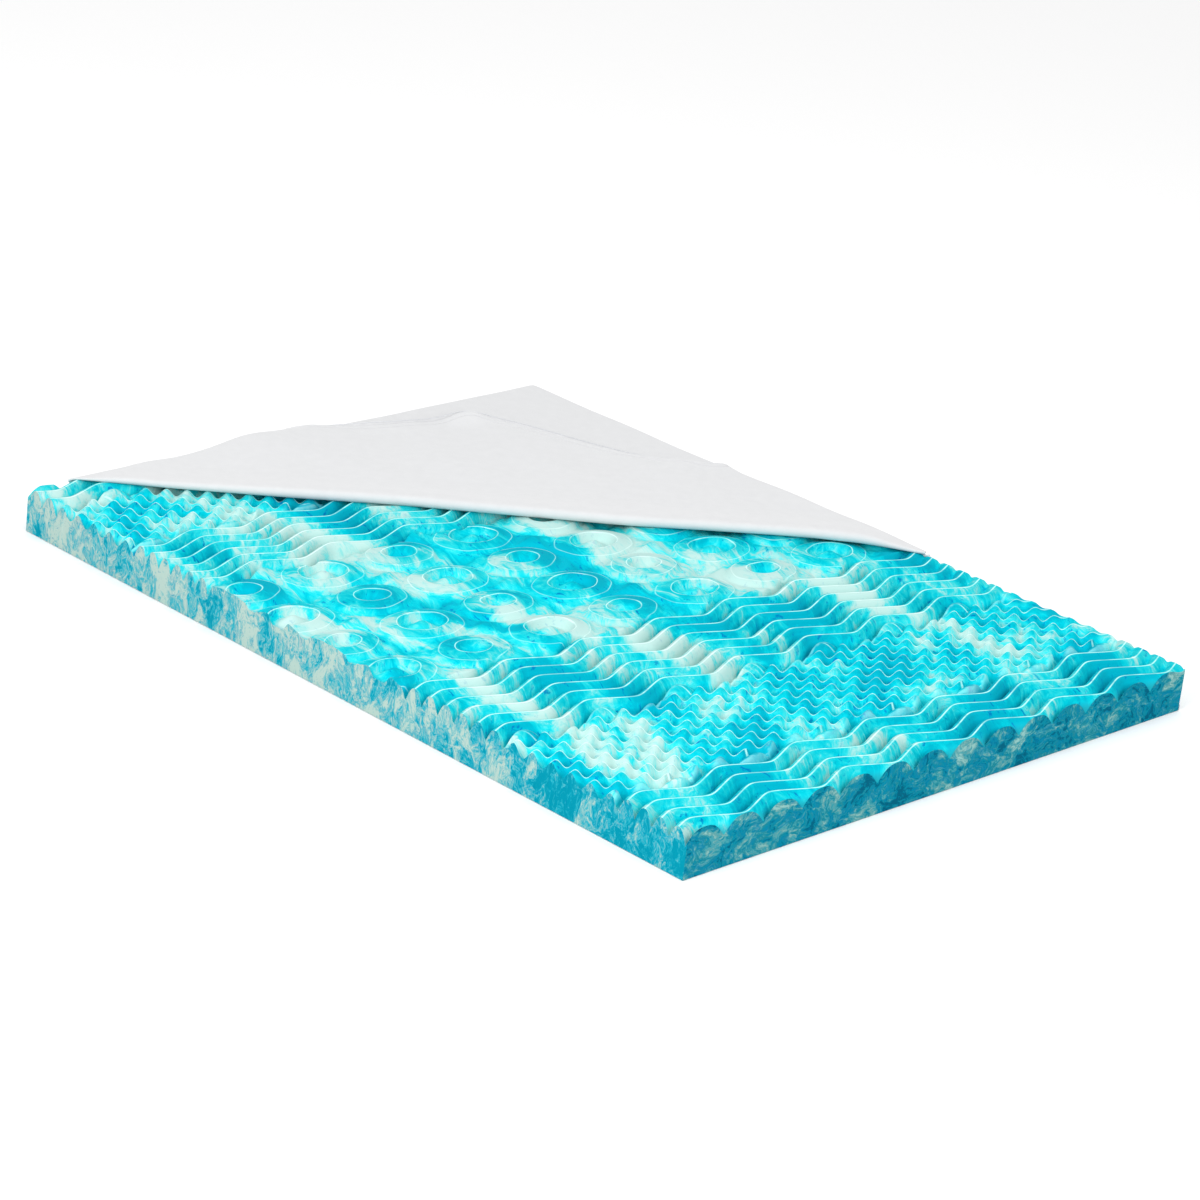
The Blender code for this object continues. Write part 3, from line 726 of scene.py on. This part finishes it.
def foldStations():
    along = np.linspace(-0.058, 1.962, cover["stations"])
    places, fronts = np.array(cover["foldFront"]).T
    front = softened(np.interp(along, places, fronts), 31)
    start = foldLeft + along[:, None] * alongFold + front[:, None] * behindFold
    limitX, limitY = flatLimits(start[:, 0], start[:, 1], 1.2)
    room = np.minimum((limitX - start[:, 0]) / behindFold[0], (limitY - start[:, 1]) / behindFold[1])
    keep = room > 0.004
    return along[keep], start[keep]


def roomBehind(start, turn):
    # how far a line runs back from each place before the cloth ends over a far edge
    far = np.full(len(start), 0.5)
    for _ in range(30):
        spot = start + far[:, None] * behindFold
        limitX, limitY = flatLimits(spot[:, 0], spot[:, 1], turn)
        far = np.minimum((limitX - start[:, 0]) / behindFold[0], (limitY - start[:, 1]) / behindFold[1])
    return far


def edgeBehind(start):
    # how far behind each place the turned-back cloth's free edge lies
    far = np.full(len(start), 9.0)
    corners = np.array(cover["freeEdge"])
    for first, second in zip(corners, corners[1:]):
        span = second - first
        across = span[0] * behindFold[1] - span[1] * behindFold[0]
        off = start - first
        share = (off[:, 0] * behindFold[1] - off[:, 1] * behindFold[0]) / across
        reach = (off[:, 0] * span[1] - off[:, 1] * span[0]) / across
        hit = (share >= 0) & (share <= 1) & (reach > 0)
        far = np.where(hit, np.minimum(far, reach), far)
    return far


def hump(x, y, middleX, middleY, height, reachX, reachY):
    return height * np.exp(-((x - middleX) / reachX) ** 2 - ((y - middleY) / reachY) ** 2)


def clothLift(x, y, behind, edgeAway, radius):
    # height of the upper layer's middle over the lower one's
    along = (x - foldLeft[0]) * alongFold[0] + (y - foldLeft[1]) * alongFold[1]
    ripples, most = 0, 0
    for alongShare, behindShare, length, start, strength in cover["ripples"]:
        turn = 2 * np.pi * (alongShare * along + behindShare * behind) / length + start
        ripples = ripples + strength * np.sin(turn)
        most += strength
    back = smooth(behind, 0, 0.12)
    settled = cover["cloth"] + cover["gap"] + cover["layerGap"]
    settled = settled + back * (cover["rippleHeight"] * (1 + ripples / most) + hump(x, y, *cover["mainHump"]))
    for place in cover["smallHumps"]:
        settled = settled + hump(x, y, *place)
    # the free edge stands a little off the lower layer, on its own hem
    rise, reach = cover["edgeLift"]
    settled = settled + rise * np.exp(-(edgeAway / reach) ** 2)
    return settled + (2 * radius - settled) * np.exp(-(behind / cover["settle"]) ** 2)


def meshFromRows(name, spots, flat):
    # a sheet from rows of places, with its flat places as its UV map, in metres
    rows, columns = spots.shape[:2]
    index = np.arange(rows * columns).reshape(rows, columns)
    faces = np.stack((index[:-1, :-1], index[:-1, 1:], index[1:, 1:], index[1:, :-1]), -1).reshape(-1, 4)
    mesh = bpy.data.meshes.new(name)
    mesh.from_pydata(spots.reshape(-1, 3).tolist(), [], faces.tolist())
    layer = mesh.uv_layers.new(name="flatPlace")
    layer.data.foreach_set("uv", flat.reshape(-1, 2)[faces.ravel()].astype(np.float32).ravel())
    piece = bpy.data.objects.new(name, mesh)
    bpy.context.scene.collection.objects.link(piece)
    return piece


def sheetPiece(name, spots, flat, thickness, material):
    piece = meshFromRows(name, spots, flat)
    chooseOnly(piece)
    bpy.ops.object.mode_set(mode="EDIT")
    bpy.ops.mesh.select_all(action="SELECT")
    bpy.ops.mesh.remove_doubles(threshold=0.00002)
    bpy.ops.object.mode_set(mode="OBJECT")
    wall = piece.modifiers.new("wall", "SOLIDIFY")
    wall.thickness = thickness
    wall.offset = 0.0
    bpy.ops.object.modifier_apply(modifier=wall.name)
    bpy.ops.object.shade_smooth_by_angle(angle=radians(50))
    piece.data.materials.append(material)
    return piece


def edgeLengths(path):
    # the way along a line up to each of its places
    return np.concatenate(([0.0], np.cumsum(np.linalg.norm(np.diff(path, axis=0), axis=1))))


def rowLengths(rows):
    # the same along each row of a sheet's places
    steps = np.linalg.norm(np.diff(rows, axis=1), axis=-1)
    return np.concatenate((np.zeros((len(rows), 1)), np.cumsum(steps, axis=1)), axis=1)


def flatPlaces(along, across):
    return np.stack((np.broadcast_to(along[:, None], across.shape), across), axis=-1)


def sheetArea(spots):
    rows = np.diff(spots, axis=0)[:, :-1]
    columns = np.diff(spots, axis=1)[:-1]
    return float(np.linalg.norm(np.cross(rows, columns), axis=-1).sum())


def weaveGroup():
    # fine crossed threads with slubs, from flat places in metres
    group, inside, outside = newGroup("weave", {"Pitch": 0.0014}, ("Height", "Slub"))
    parts = addNode(group, "ShaderNodeSeparateXYZ", {"Vector": inside["Vector"]}).outputs
    waves = []
    for part in (parts["X"], parts["Y"]):
        turned = maths(group, "MULTIPLY", maths(group, "DIVIDE", part, inside["Pitch"]), 6.2832)
        waves.append(maths(group, "SINE", turned))
    crossed = maths(group, "MULTIPLY", *waves)
    group.links.new(maths(group, "MULTIPLY_ADD", crossed, 0.5, 0.5), outside["Height"])
    group.links.new(noise(group, inside["Vector"], 38.0, 4.0)["Fac"], outside["Slub"])
    return group


def clothMaterial(name, group, light, dark, pitch, roughness, bump):
    material, tree, shader = newMaterial(name, roughness, 0.3)
    flat = addNode(tree, "ShaderNodeUVMap", {}, uv_map="flatPlace").outputs["UV"]
    threads = addNode(tree, "ShaderNodeGroup", {"Vector": flat, "Pitch": pitch}, node_tree=group).outputs
    slubs = maths(tree, "MULTIPLY", threads["Slub"], 0.65)
    shade = maths(tree, "MULTIPLY_ADD", threads["Height"], 0.35, slubs)
    colour = mixColour(tree, spread(tree, shade, 0.25, 0.75), dark, light)
    rough = (roughness - 0.06, roughness + 0.06)
    surface(tree, shader, colour, threads["Slub"], rough, threads["Height"], bump, 0.0003)
    return material


weave = weaveGroup()
knitCloth = clothMaterial("knitCloth", weave, (0.642, 0.647, 0.657), (0.606, 0.611, 0.621), 0.0014, 0.85, 0.25)
tapeCloth = clothMaterial("zipTapeCloth", weave, (0.66, 0.665, 0.675), (0.57, 0.575, 0.59), 0.0009, 0.8, 0.5)
labelCloth = clothMaterial("labelSatin", weave, (0.86, 0.86, 0.84), (0.80, 0.80, 0.79), 0.0007, 0.55, 0.3)


def rollRadius(start):
    # thinner towards the two tips, and most of all towards the left one
    (leastRoom, roomLow, roomHigh), (leastAlong, alongLow, alongHigh) = cover["rollTips"]
    byRoom = leastRoom + (1 - leastRoom) * smooth(roomBehind(start, 1.35), roomLow, roomHigh)
    byAlong = leastAlong + (1 - leastAlong) * smooth((start - foldLeft) @ alongFold, alongLow, alongHigh)
    return cover["foldRadius"] * byRoom * byAlong


def makeLowerLayer():
    along, start = foldStations()
    begin = start + (rollRadius(start) * cover["foldReach"])[:, None] * behindFold
    far = np.maximum(roomBehind(begin, np.pi / 2), 0.0005)
    share = np.linspace(0, 1, cover["rows"])
    share = np.concatenate((share[:-1] * 0.93, np.linspace(0.93, 1, 24)))
    flat = begin[:, None] + (far[:, None] * share)[..., None] * behindFold
    x, y = flat[..., 0], flat[..., 1]
    sag = cover["sag"] * (1 + np.sin(2 * np.pi * x / 0.31 + 3 * y) * np.sin(2 * np.pi * y / 0.23))
    spots = drape(x, y, sag * smooth(share * far[:, None], 0.02, 0.10))
    piece = sheetPiece("coverLowerLayer", spots, flat, cover["cloth"], knitCloth)
    standFor(piece, "topper", "cover_top_panel")


def makeTurnedLayer():
    along, start = foldStations()
    radius = rollRadius(start)
    centre = start + (radius * cover["foldReach"])[:, None] * behindFold
    room = np.maximum(roomBehind(centre, 1.30), 0.0008)
    edge = softened(edgeBehind(centre), 13)
    far = np.minimum(room, edge)
    turn = np.linspace(0, np.pi, cover["rollRows"])[:-1]
    outward = -radius[:, None] * cover["foldReach"] * np.sin(turn)
    rollFlat = centre[:, None] + outward[..., None] * behindFold
    back = far[:, None] * np.linspace(0, 1, cover["rows"]) ** 1.15
    flat = centre[:, None] + back[..., None] * behindFold
    lift = clothLift(flat[..., 0], flat[..., 1], back, edge[:, None] - back, radius[:, None])
    spots = np.concatenate((drape(rollFlat[..., 0], rollFlat[..., 1], radius[:, None] * (1 - np.cos(turn))),
                            drape(flat[..., 0], flat[..., 1], lift)), axis=1)
    run = rowLengths(spots)
    piece = sheetPiece("coverTurnedLayer", spots, flatPlaces(along, run), cover["cloth"], knitCloth)
    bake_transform(piece)
    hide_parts("cover_flap")
    return along, centre, far, edge, radius


makeLowerLayer()
turned = makeTurnedLayer()
print("cover top ready")


# The cover's side bands and its underside
band = {
    "stopX": -0.5232,  # where the long band's lower edge rises to the zip
    "tapeStart": -0.5248,  # the tapes reach under the band, so that no foam shows beside the end stop
    "sliderX": 0.1016,
    "foldEnd": 0.2966,  # where the long band and its zip end at the fold
    "foldHigh": 0.0911,
    "zipLow": 0.0306,
    "lean": 0.047,
    "front": -0.650,
    "rows": 24,
    "bulge": 0.0022,
    "waves": ((0.37, 0.0, 0.35), (0.13, 1.0, 0.2)),  # length, start and strength
    "hem": 0.012,
    "hemStep": 0.0005,
    "cornerReach": 0.006,
}
bandHeight = foam["top"] - foam["bottom"]


def bandShape(top, low, flatAlong, outward, name):
    # a wall of cloth from its top seam down to a lower edge, slightly full between them
    share = np.linspace(0, 1, band["rows"])
    z = top[:, None, 2] * (1 - share) + low[:, None] * share
    wave = sum(strength * np.sin(2 * np.pi * flatAlong / length + start)
               for length, start, strength in band["waves"])
    full = ((top[:, 2] - low) / bandHeight) ** 2
    out = band["bulge"] * (full * (1 + wave))[:, None] * np.sin(np.pi * share)
    out = out + band["hemStep"] * smooth(z - low[:, None], band["hem"] + 0.002, band["hem"])
    spots = np.stack((top[:, None, 0] + outward[0] * out, top[:, None, 1] + outward[1] * out, z), axis=-1)
    return sheetPiece(name, spots, flatPlaces(flatAlong, z), cover["cloth"], knitCloth), spots


def makeBands():
    corner = band["cornerReach"]
    y = np.concatenate((np.linspace(band["front"], 0.74, 230), np.linspace(0.742, halfWidth + corner, 16)))
    limit, most = flatLimits(np.full_like(y, -halfLength), y)
    top = drape(limit, np.minimum(y, most), 0 * y)
    low = np.full_like(y, foam["bottom"])
    low = low + (top[:, 2] - low - 0.004) * smooth(band["front"] + band["lean"] - y, 0, band["lean"])
    short, shortSpots = bandShape(top, low, y, (-1, 0), "coverBandShort")
    x = np.sort(np.concatenate((np.linspace(-halfLength - corner, -1.0, 12),
                                np.linspace(-0.995, band["foldEnd"], 260),
                                (band["stopX"] - 0.0001, band["stopX"] + 0.0001))))
    least, limit = flatLimits(x, np.full_like(x, halfWidth))
    top = drape(np.maximum(x, least), limit, 0 * x)
    share = np.clip((x - band["sliderX"]) / (band["foldEnd"] - band["sliderX"]), 0, 1)
    rising = band["zipLow"] + (foam["top"] - band["zipLow"]) * share
    low = np.where(x < band["stopX"], foam["bottom"], np.minimum(rising, top[:, 2] - 0.001))
    long, longSpots = bandShape(top, low, x, (0, 1), "coverBandLong")
    for piece, spots, node, length in ((short, shortSpots, "cover_side_band_short", float(np.ptp(y))),
                                       (long, longSpots, "cover_side_band_long", float(np.ptp(x)))):
        standFor(piece, "topper", node)
    return shortSpots[:, 0], longSpots[:, 0]


def makeUnderside():
    low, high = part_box("cover_bottom_panel")
    x, y = np.meshgrid(np.linspace(low.x, high.x, 120), np.linspace(low.y, high.y, 90), indexing="ij")
    spots = np.stack((x, y, np.full_like(x, cover["cloth"] / 2)), axis=-1)
    piece = sheetPiece("coverUnderside", spots, spots[..., :2], cover["cloth"], knitCloth)
    standFor(piece, "topper", "cover_bottom_panel")


bandTops = makeBands()
makeUnderside()
print("cover bands ready")

# The zip, the hem on the free edge, the stitches and the care label: metres
zipper = {
    "tapeWidth": 0.012,
    "tapeThick": 0.0008,
    "tapeWave": 0.0002,
    "coilWidth": 0.003,
    "coilThick": 0.002,
    "coilLean": 9,  # degrees that a turn of the coil leans
    "toothLength": 0.0019,
    "pitch": 0.0024,
    "gap": 0.0003,
    "stitch": (0.0028, 0.0045),  # length of a stitch and from one to the next
    "hemWidth": 0.014,
    "hemThick": 0.0042,
    # the tape on the free edge: how far it stands up, where it does, and its shape across
    "tapeLean": 0.0085,
    "tapeOut": (-0.006, -0.001, 0.0025, 0.005, 0.0075, 0.0095),
    "tapeUp": (0.0, 0.0, 0.10, 0.45, 0.80, 1.0),
    "label": 0.0004,
}
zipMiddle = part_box("zip_coil_lower")[0].y + zipper["coilThick"] / 2
zipOuter = zipper["coilWidth"] + zipper["gap"]
zipInner = zipOuter + zipper["tapeWidth"]


def atSteps(path, steps, lengths):
    return np.stack([np.interp(steps, lengths, path[:, k]) for k in range(3)], axis=-1)


def alongPath(path, count):
    # places at even steps along a line of 3-D points
    lengths = edgeLengths(path)
    return atSteps(path, np.linspace(0, lengths[-1], count), lengths)


def strip(name, near, far, count, wave=0.0):
    # a ribbon of tape between two lines with as many corners
    near, far = np.array(near, float), np.array(far, float)
    lengths = edgeLengths(near)
    steps = np.sort(np.concatenate((np.linspace(0, lengths[-1], count), lengths[1:-1])))
    share = np.linspace(0, 1, 7)
    spots = (atSteps(near, steps, lengths)[:, None] * (1 - share)[:, None]
             + atSteps(far, steps, lengths)[:, None] * share[:, None])
    spots[..., 1] += wave * np.sin(steps / 0.031)[:, None] * np.sin(np.pi * share)
    width = float(np.linalg.norm(far[0] - near[0]))
    flat = flatPlaces(steps, np.broadcast_to(share * width, spots.shape[:2]))
    return sheetPiece(name, spots, flat, zipper["tapeThick"], tapeCloth), (width, float(lengths[-1]))


def lineThrough(name, path):
    line = bpy.data.curves.new(name, "CURVE")
    line.dimensions = "3D"
    spline = line.splines.new("POLY")
    spline.points.add(len(path) - 1)
    for point, spot in zip(spline.points, path):
        point.co = (*spot, 1)
    guide = bpy.data.objects.new(name, line)
    bpy.context.scene.collection.objects.link(guide)
    return guide


def arrayAlong(piece, path, pitch):
    # copies of a small shape at even steps along a line, then bent onto it
    guide = lineThrough(piece.name + "Path", path)
    guide.data.twist_mode = "Z_UP"
    copies = piece.modifiers.new("copies", "ARRAY")
    copies.count = int(edgeLengths(path)[-1] / pitch) - 1
    copies.use_relative_offset = False
    copies.use_constant_offset = True
    copies.constant_offset_displace = (pitch, 0, 0)
    bent = piece.modifiers.new("bent", "CURVE")
    bent.object = guide
    chooseOnly(piece)
    bpy.ops.object.modifier_apply(modifier="copies")
    bpy.ops.object.modifier_apply(modifier="bent")
    bpy.data.objects.remove(guide)
    bpy.ops.object.shade_smooth_by_angle(angle=radians(50))


def shapeNew(name, size, lean, material):
    # the primitive just added, turned along X, brought to its size and leaned over
    piece = bpy.context.object
    piece.name = name
    bpy.ops.object.transform_apply(location=False, rotation=True, scale=False)
    bpy.ops.object.mode_set(mode="EDIT")
    bpy.ops.mesh.select_all(action="SELECT")
    bpy.ops.transform.resize(value=size)
    bpy.ops.transform.rotate(value=radians(lean), orient_axis="Z", center_override=(0, 0, 0))
    bpy.ops.object.mode_set(mode="OBJECT")
    piece.data.materials.append(material)
    return piece


def coil(name, path, node, body, wide, high):
    # turns of nylon, each leaning as a real one does
    bpy.ops.object.select_all(action="DESELECT")
    bpy.ops.mesh.primitive_torus_add(major_radius=1, minor_radius=0.42, major_segments=8, minor_segments=5,
                                     rotation=(0, radians(90), 0))
    size = (zipper["toothLength"] / 0.84, wide / 2.84, high / 2.84)
    piece = shapeNew(name, size, zipper["coilLean"], zipNylon)
    arrayAlong(piece, path, zipper["pitch"])
    standFor(piece, body, node)


def stitches(name, path, body, across=0.0007):
    # a row of thread, each stitch a small rounded bar
    long, pitch = zipper["stitch"]
    bpy.ops.object.select_all(action="DESELECT")
    bpy.ops.mesh.primitive_cylinder_add(vertices=6, radius=0.5, depth=1, rotation=(0, radians(90), 0))
    piece = shapeNew(name, (long, across, across), 0, sewingThread)
    soft = piece.modifiers.new("soft", "BEVEL")
    soft.width = across * 0.3
    soft.segments = 1
    soft.limit_method = "ANGLE"
    soft.angle_limit = radians(70)
    bpy.ops.object.modifier_apply(modifier="soft")
    arrayAlong(piece, path, pitch)
    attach(piece, body)


def cordSeam(name, path, radius, body):
    # a rounded seam along a line
    line = lineThrough(name, path)
    line.data.bevel_depth = radius
    line.data.bevel_resolution = 1
    line.data.use_fill_caps = True
    chooseOnly(line)
    bpy.ops.object.convert(target="MESH")
    piece = bpy.context.object
    piece.data.materials.clear()
    piece.data.materials.append(sewingThread)
    bpy.ops.object.shade_smooth_by_angle(angle=radians(50))
    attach(piece, body)


def plainFinish(name, light, dark, roughness, metallic=0.0, scale=(40, 40, 40), bump=0.2):
    # fine variation in tone, roughness and height for thread, nylon and metal
    material, tree, shader = newMaterial(name, roughness)
    shader.inputs["Metallic"].default_value = metallic
    grain = noise(tree, stretched(tree, scale), 12.0, 4.0)["Fac"]
    colour = mixColour(tree, spread(tree, grain, 0.35, 0.65), dark, light)
    surface(tree, shader, colour, grain, (roughness - 0.08, roughness + 0.08), grain, bump, 0.0002)
    return material


sewingThread = plainFinish("sewingThread", (0.74, 0.75, 0.76), (0.62, 0.63, 0.65), 0.7, scale=(60, 60, 60))
zipNylon = plainFinish("zipNylon", (0.74, 0.75, 0.77), (0.64, 0.66, 0.69), 0.42)
zipMetal = plainFinish("zipMetal", (0.72, 0.73, 0.75), (0.55, 0.56, 0.59), 0.36, metallic=0.85,
                       scale=(8, 60, 60))


def makeLowerZip():
    low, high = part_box("zip_tape_lower")
    lines = [((band["tapeStart"], zipMiddle, z), (high.x, zipMiddle, z)) for z in (low.z, high.z)]
    tape, size = strip("zipTapeLower", *lines, 300, zipper["tapeWave"])
    low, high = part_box("zip_coil_lower")
    middle = (low.z + high.z) / 2
    path = alongPath(np.array(((low.x, zipMiddle, middle), (high.x, zipMiddle, middle))), 60)
    coil("zipCoilLower", path, "zip_coil_lower", "topper", zipper["coilThick"], zipper["coilWidth"])
    return tape, size, size[0] * size[1], "zip_tape_lower", "topper"


def offsetLine(corners, reach):
    # a line of (x, z) corners moved to its upper left side, with mitred corners
    corners = np.array(corners)
    spans = np.diff(corners, axis=0)
    normals = np.stack((-spans[:, 1], spans[:, 0]), axis=-1) / np.linalg.norm(spans, axis=1)[:, None]
    moved = [corners[0] + normals[0] * reach]
    for first, second, corner in zip(normals, normals[1:], corners[1:]):
        middle = (first + second) / (1 + first @ second)
        moved.append(corner + middle * reach)
    moved.append(corners[-1] + normals[-1] * reach)
    return np.array(moved)


def makeBandZip():
    low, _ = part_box("zip_coil_band")
    corners = ((low.x, low.z), (band["sliderX"] + zipper["gap"], low.z), (band["foldEnd"], band["foldHigh"]))
    lines = []
    for reach in (zipper["coilWidth"] / 2, zipOuter, zipInner):
        flat = offsetLine(corners, reach)
        lines.append(np.stack((flat[:, 0], np.full(len(flat), zipMiddle), flat[:, 1]), axis=-1))
    for line in lines[1:]:
        line[0, 0] = band["tapeStart"]
    tape, size = strip("zipTapeBand", lines[1], lines[2], 200)
    coil("zipCoilBand", alongPath(lines[0], 80), "zip_coil_band", "topper", zipper["coilThick"],
         zipper["coilWidth"])
    sewn = lines[1] * 0.28 + lines[2] * 0.72 + np.array((0, zipper["tapeThick"] * 0.8, 0))
    stitches("bandZipStitches", alongPath(sewn, 120), "topper")
    return tape, size, size[0] * size[1], "zip_tape_band", "topper"


def makeTuckedZip():
    low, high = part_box("zip_tape_tucked")
    z = (low.z + high.z) / 2
    lines = []
    for reach in (zipper["coilWidth"] / 2, zipOuter, zipInner):
        lines.append(np.array(((-halfLength, -halfWidth + reach, z), (halfLength - reach, -halfWidth + reach, z),
                               (halfLength - reach, halfWidth, z))))
    tape, size = strip("zipTapeTucked", lines[1], lines[2], 400)
    low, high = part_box("zip_coil_tucked")
    lines[0][:, 2] = (low.z + high.z) / 2
    coil("zipCoilTucked", alongPath(lines[0], 160), "zip_coil_tucked", "topper", zipper["coilWidth"],
         high.z - low.z)
    return tape, size, size[0] * size[1], "zip_tape_tucked", "topper"


def freeEdge():
    # the free edge's flat places, how far behind the fold they lie, the roll's radius, and the way out
    along, centre, far, edge, radius = turned
    spots = centre + far[:, None] * behindFold
    keep = (far > edge - 1e-6) & (along > 0.3)
    spots = spots[keep]
    way = np.gradient(spots, axis=0)
    way = way / np.linalg.norm(way, axis=1)[:, None]
    return spots, far[keep], radius[keep], np.stack((-way[:, 1], way[:, 0]), axis=-1)


def edgeStrip(name, profile, thickness, material):
    # a ribbon that follows the free edge: for each place a way out and a height over the cloth there
    spots, far, radius, out = freeEdge()
    run = edgeLengths(spots)
    reach, share, rise = profile(run / run[-1])
    flat = spots[:, None] + reach[..., None] * out[:, None]
    inner = np.minimum(reach, 0)
    cloth = spots[:, None] + inner[..., None] * out[:, None]
    square = (out @ behindFold)[:, None]
    lifts = clothLift(cloth[..., 0], cloth[..., 1], far[:, None] + inner * square, -inner / square, radius[:, None])
    rows = drape(flat[..., 0], flat[..., 1], lifts * share + rise)
    across = rowLengths(rows)
    piece = sheetPiece(name, rows, flatPlaces(run, across), thickness, material)
    return piece, rows, (float(across.max()), float(np.linalg.norm(np.diff(rows, axis=0), axis=-1).sum(0).max()))


def makeHem():
    thick = (zipper["hemThick"] - cover["cloth"]) / 2
    wide = -zipper["hemWidth"] * np.array((1.0, 0.6, 0.25))
    lift = np.array((0.8, 1.0, 1.0))

    def profile(run):
        turn = np.linspace(np.pi / 2, -np.pi / 2, 7)
        reach = np.concatenate((wide, thick * np.cos(turn), wide[::-1]))
        height = thick * np.concatenate((lift, np.sin(turn), -lift[::-1]))
        return np.broadcast_to(reach, (len(run), len(reach))), 1.0, height

    piece, rows, size = edgeStrip("coverHem", profile, cover["cloth"] * 0.9, knitCloth)
    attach(piece, "flap")
    stitches("coverHemStitches", rows[:, 1] + np.array((0, 0, 0.0008)), "flap", 0.0009)


def makeEdgeZip():
    def profile(run):
        ends = (0.25 + 0.75 * smooth(-run, -0.95, -0.35)) * (0.15 + 0.85 * smooth(run, 0.05, 0.2))
        rise = (zipper["tapeLean"] * ends)[:, None] * np.array(zipper["tapeUp"])
        return np.broadcast_to(zipper["tapeOut"], rise.shape), 0.55, rise

    tape, rows, size = edgeStrip("zipTapeFlap", profile, zipper["tapeThick"], tapeCloth)
    path = alongPath(rows[:, -1] + (rows[:, -1] - rows[:, -2]) * 0.7, 200)
    coil("zipCoilFlap", path, "zip_coil_flap", "flap", zipper["coilWidth"], zipper["coilThick"])
    return tape, size, sheetArea(rows), "zip_tape_flap", "flap"


def makeLabel():
    low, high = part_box("care_label")
    y, z = np.meshgrid(np.linspace(low.y, high.y, 16), np.linspace(high.z, low.z, 24), indexing="ij")
    share = (high.z - z) / (high.z - low.z)
    x = low.x - 0.0022 - 0.0014 * np.sin(np.pi * share) - 0.0016 * share ** 3 * np.cos((y - low.y) / 0.011)
    spots, flat = np.stack((x, y, z), axis=-1), np.stack((y, z), axis=-1)
    piece = sheetPiece("careLabel", spots, flat, zipper["label"], labelCloth)
    standFor(piece, "topper", "care_label")
    sewnX = float(x[0, 0]) - zipper["label"]
    sewn = [(sewnX, value, high.z - 0.003) for value in np.linspace(low.y + 0.002, high.y, 12)]
    stitches("careLabelStitches", np.array(sewn), "topper", 0.0005)


for makeTape in (makeLowerZip, makeBandZip, makeTuckedZip, makeEdgeZip):
    tape, size, area, node, body = makeTape()
    standFor(tape, body, node)
makeHem()
makeLabel()
cordSeam("coverTopSeam", np.concatenate((bandTops[0][:-8], bandTops[1][10:])), 0.0015, "topper")
for node in ("zip_end_stop", "zip_slider", "zip_pull_tab"):
    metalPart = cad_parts[node]
    metalPart.data.materials.clear()
    metalPart.data.materials.append(zipMetal)
print("zip, hem and label ready")
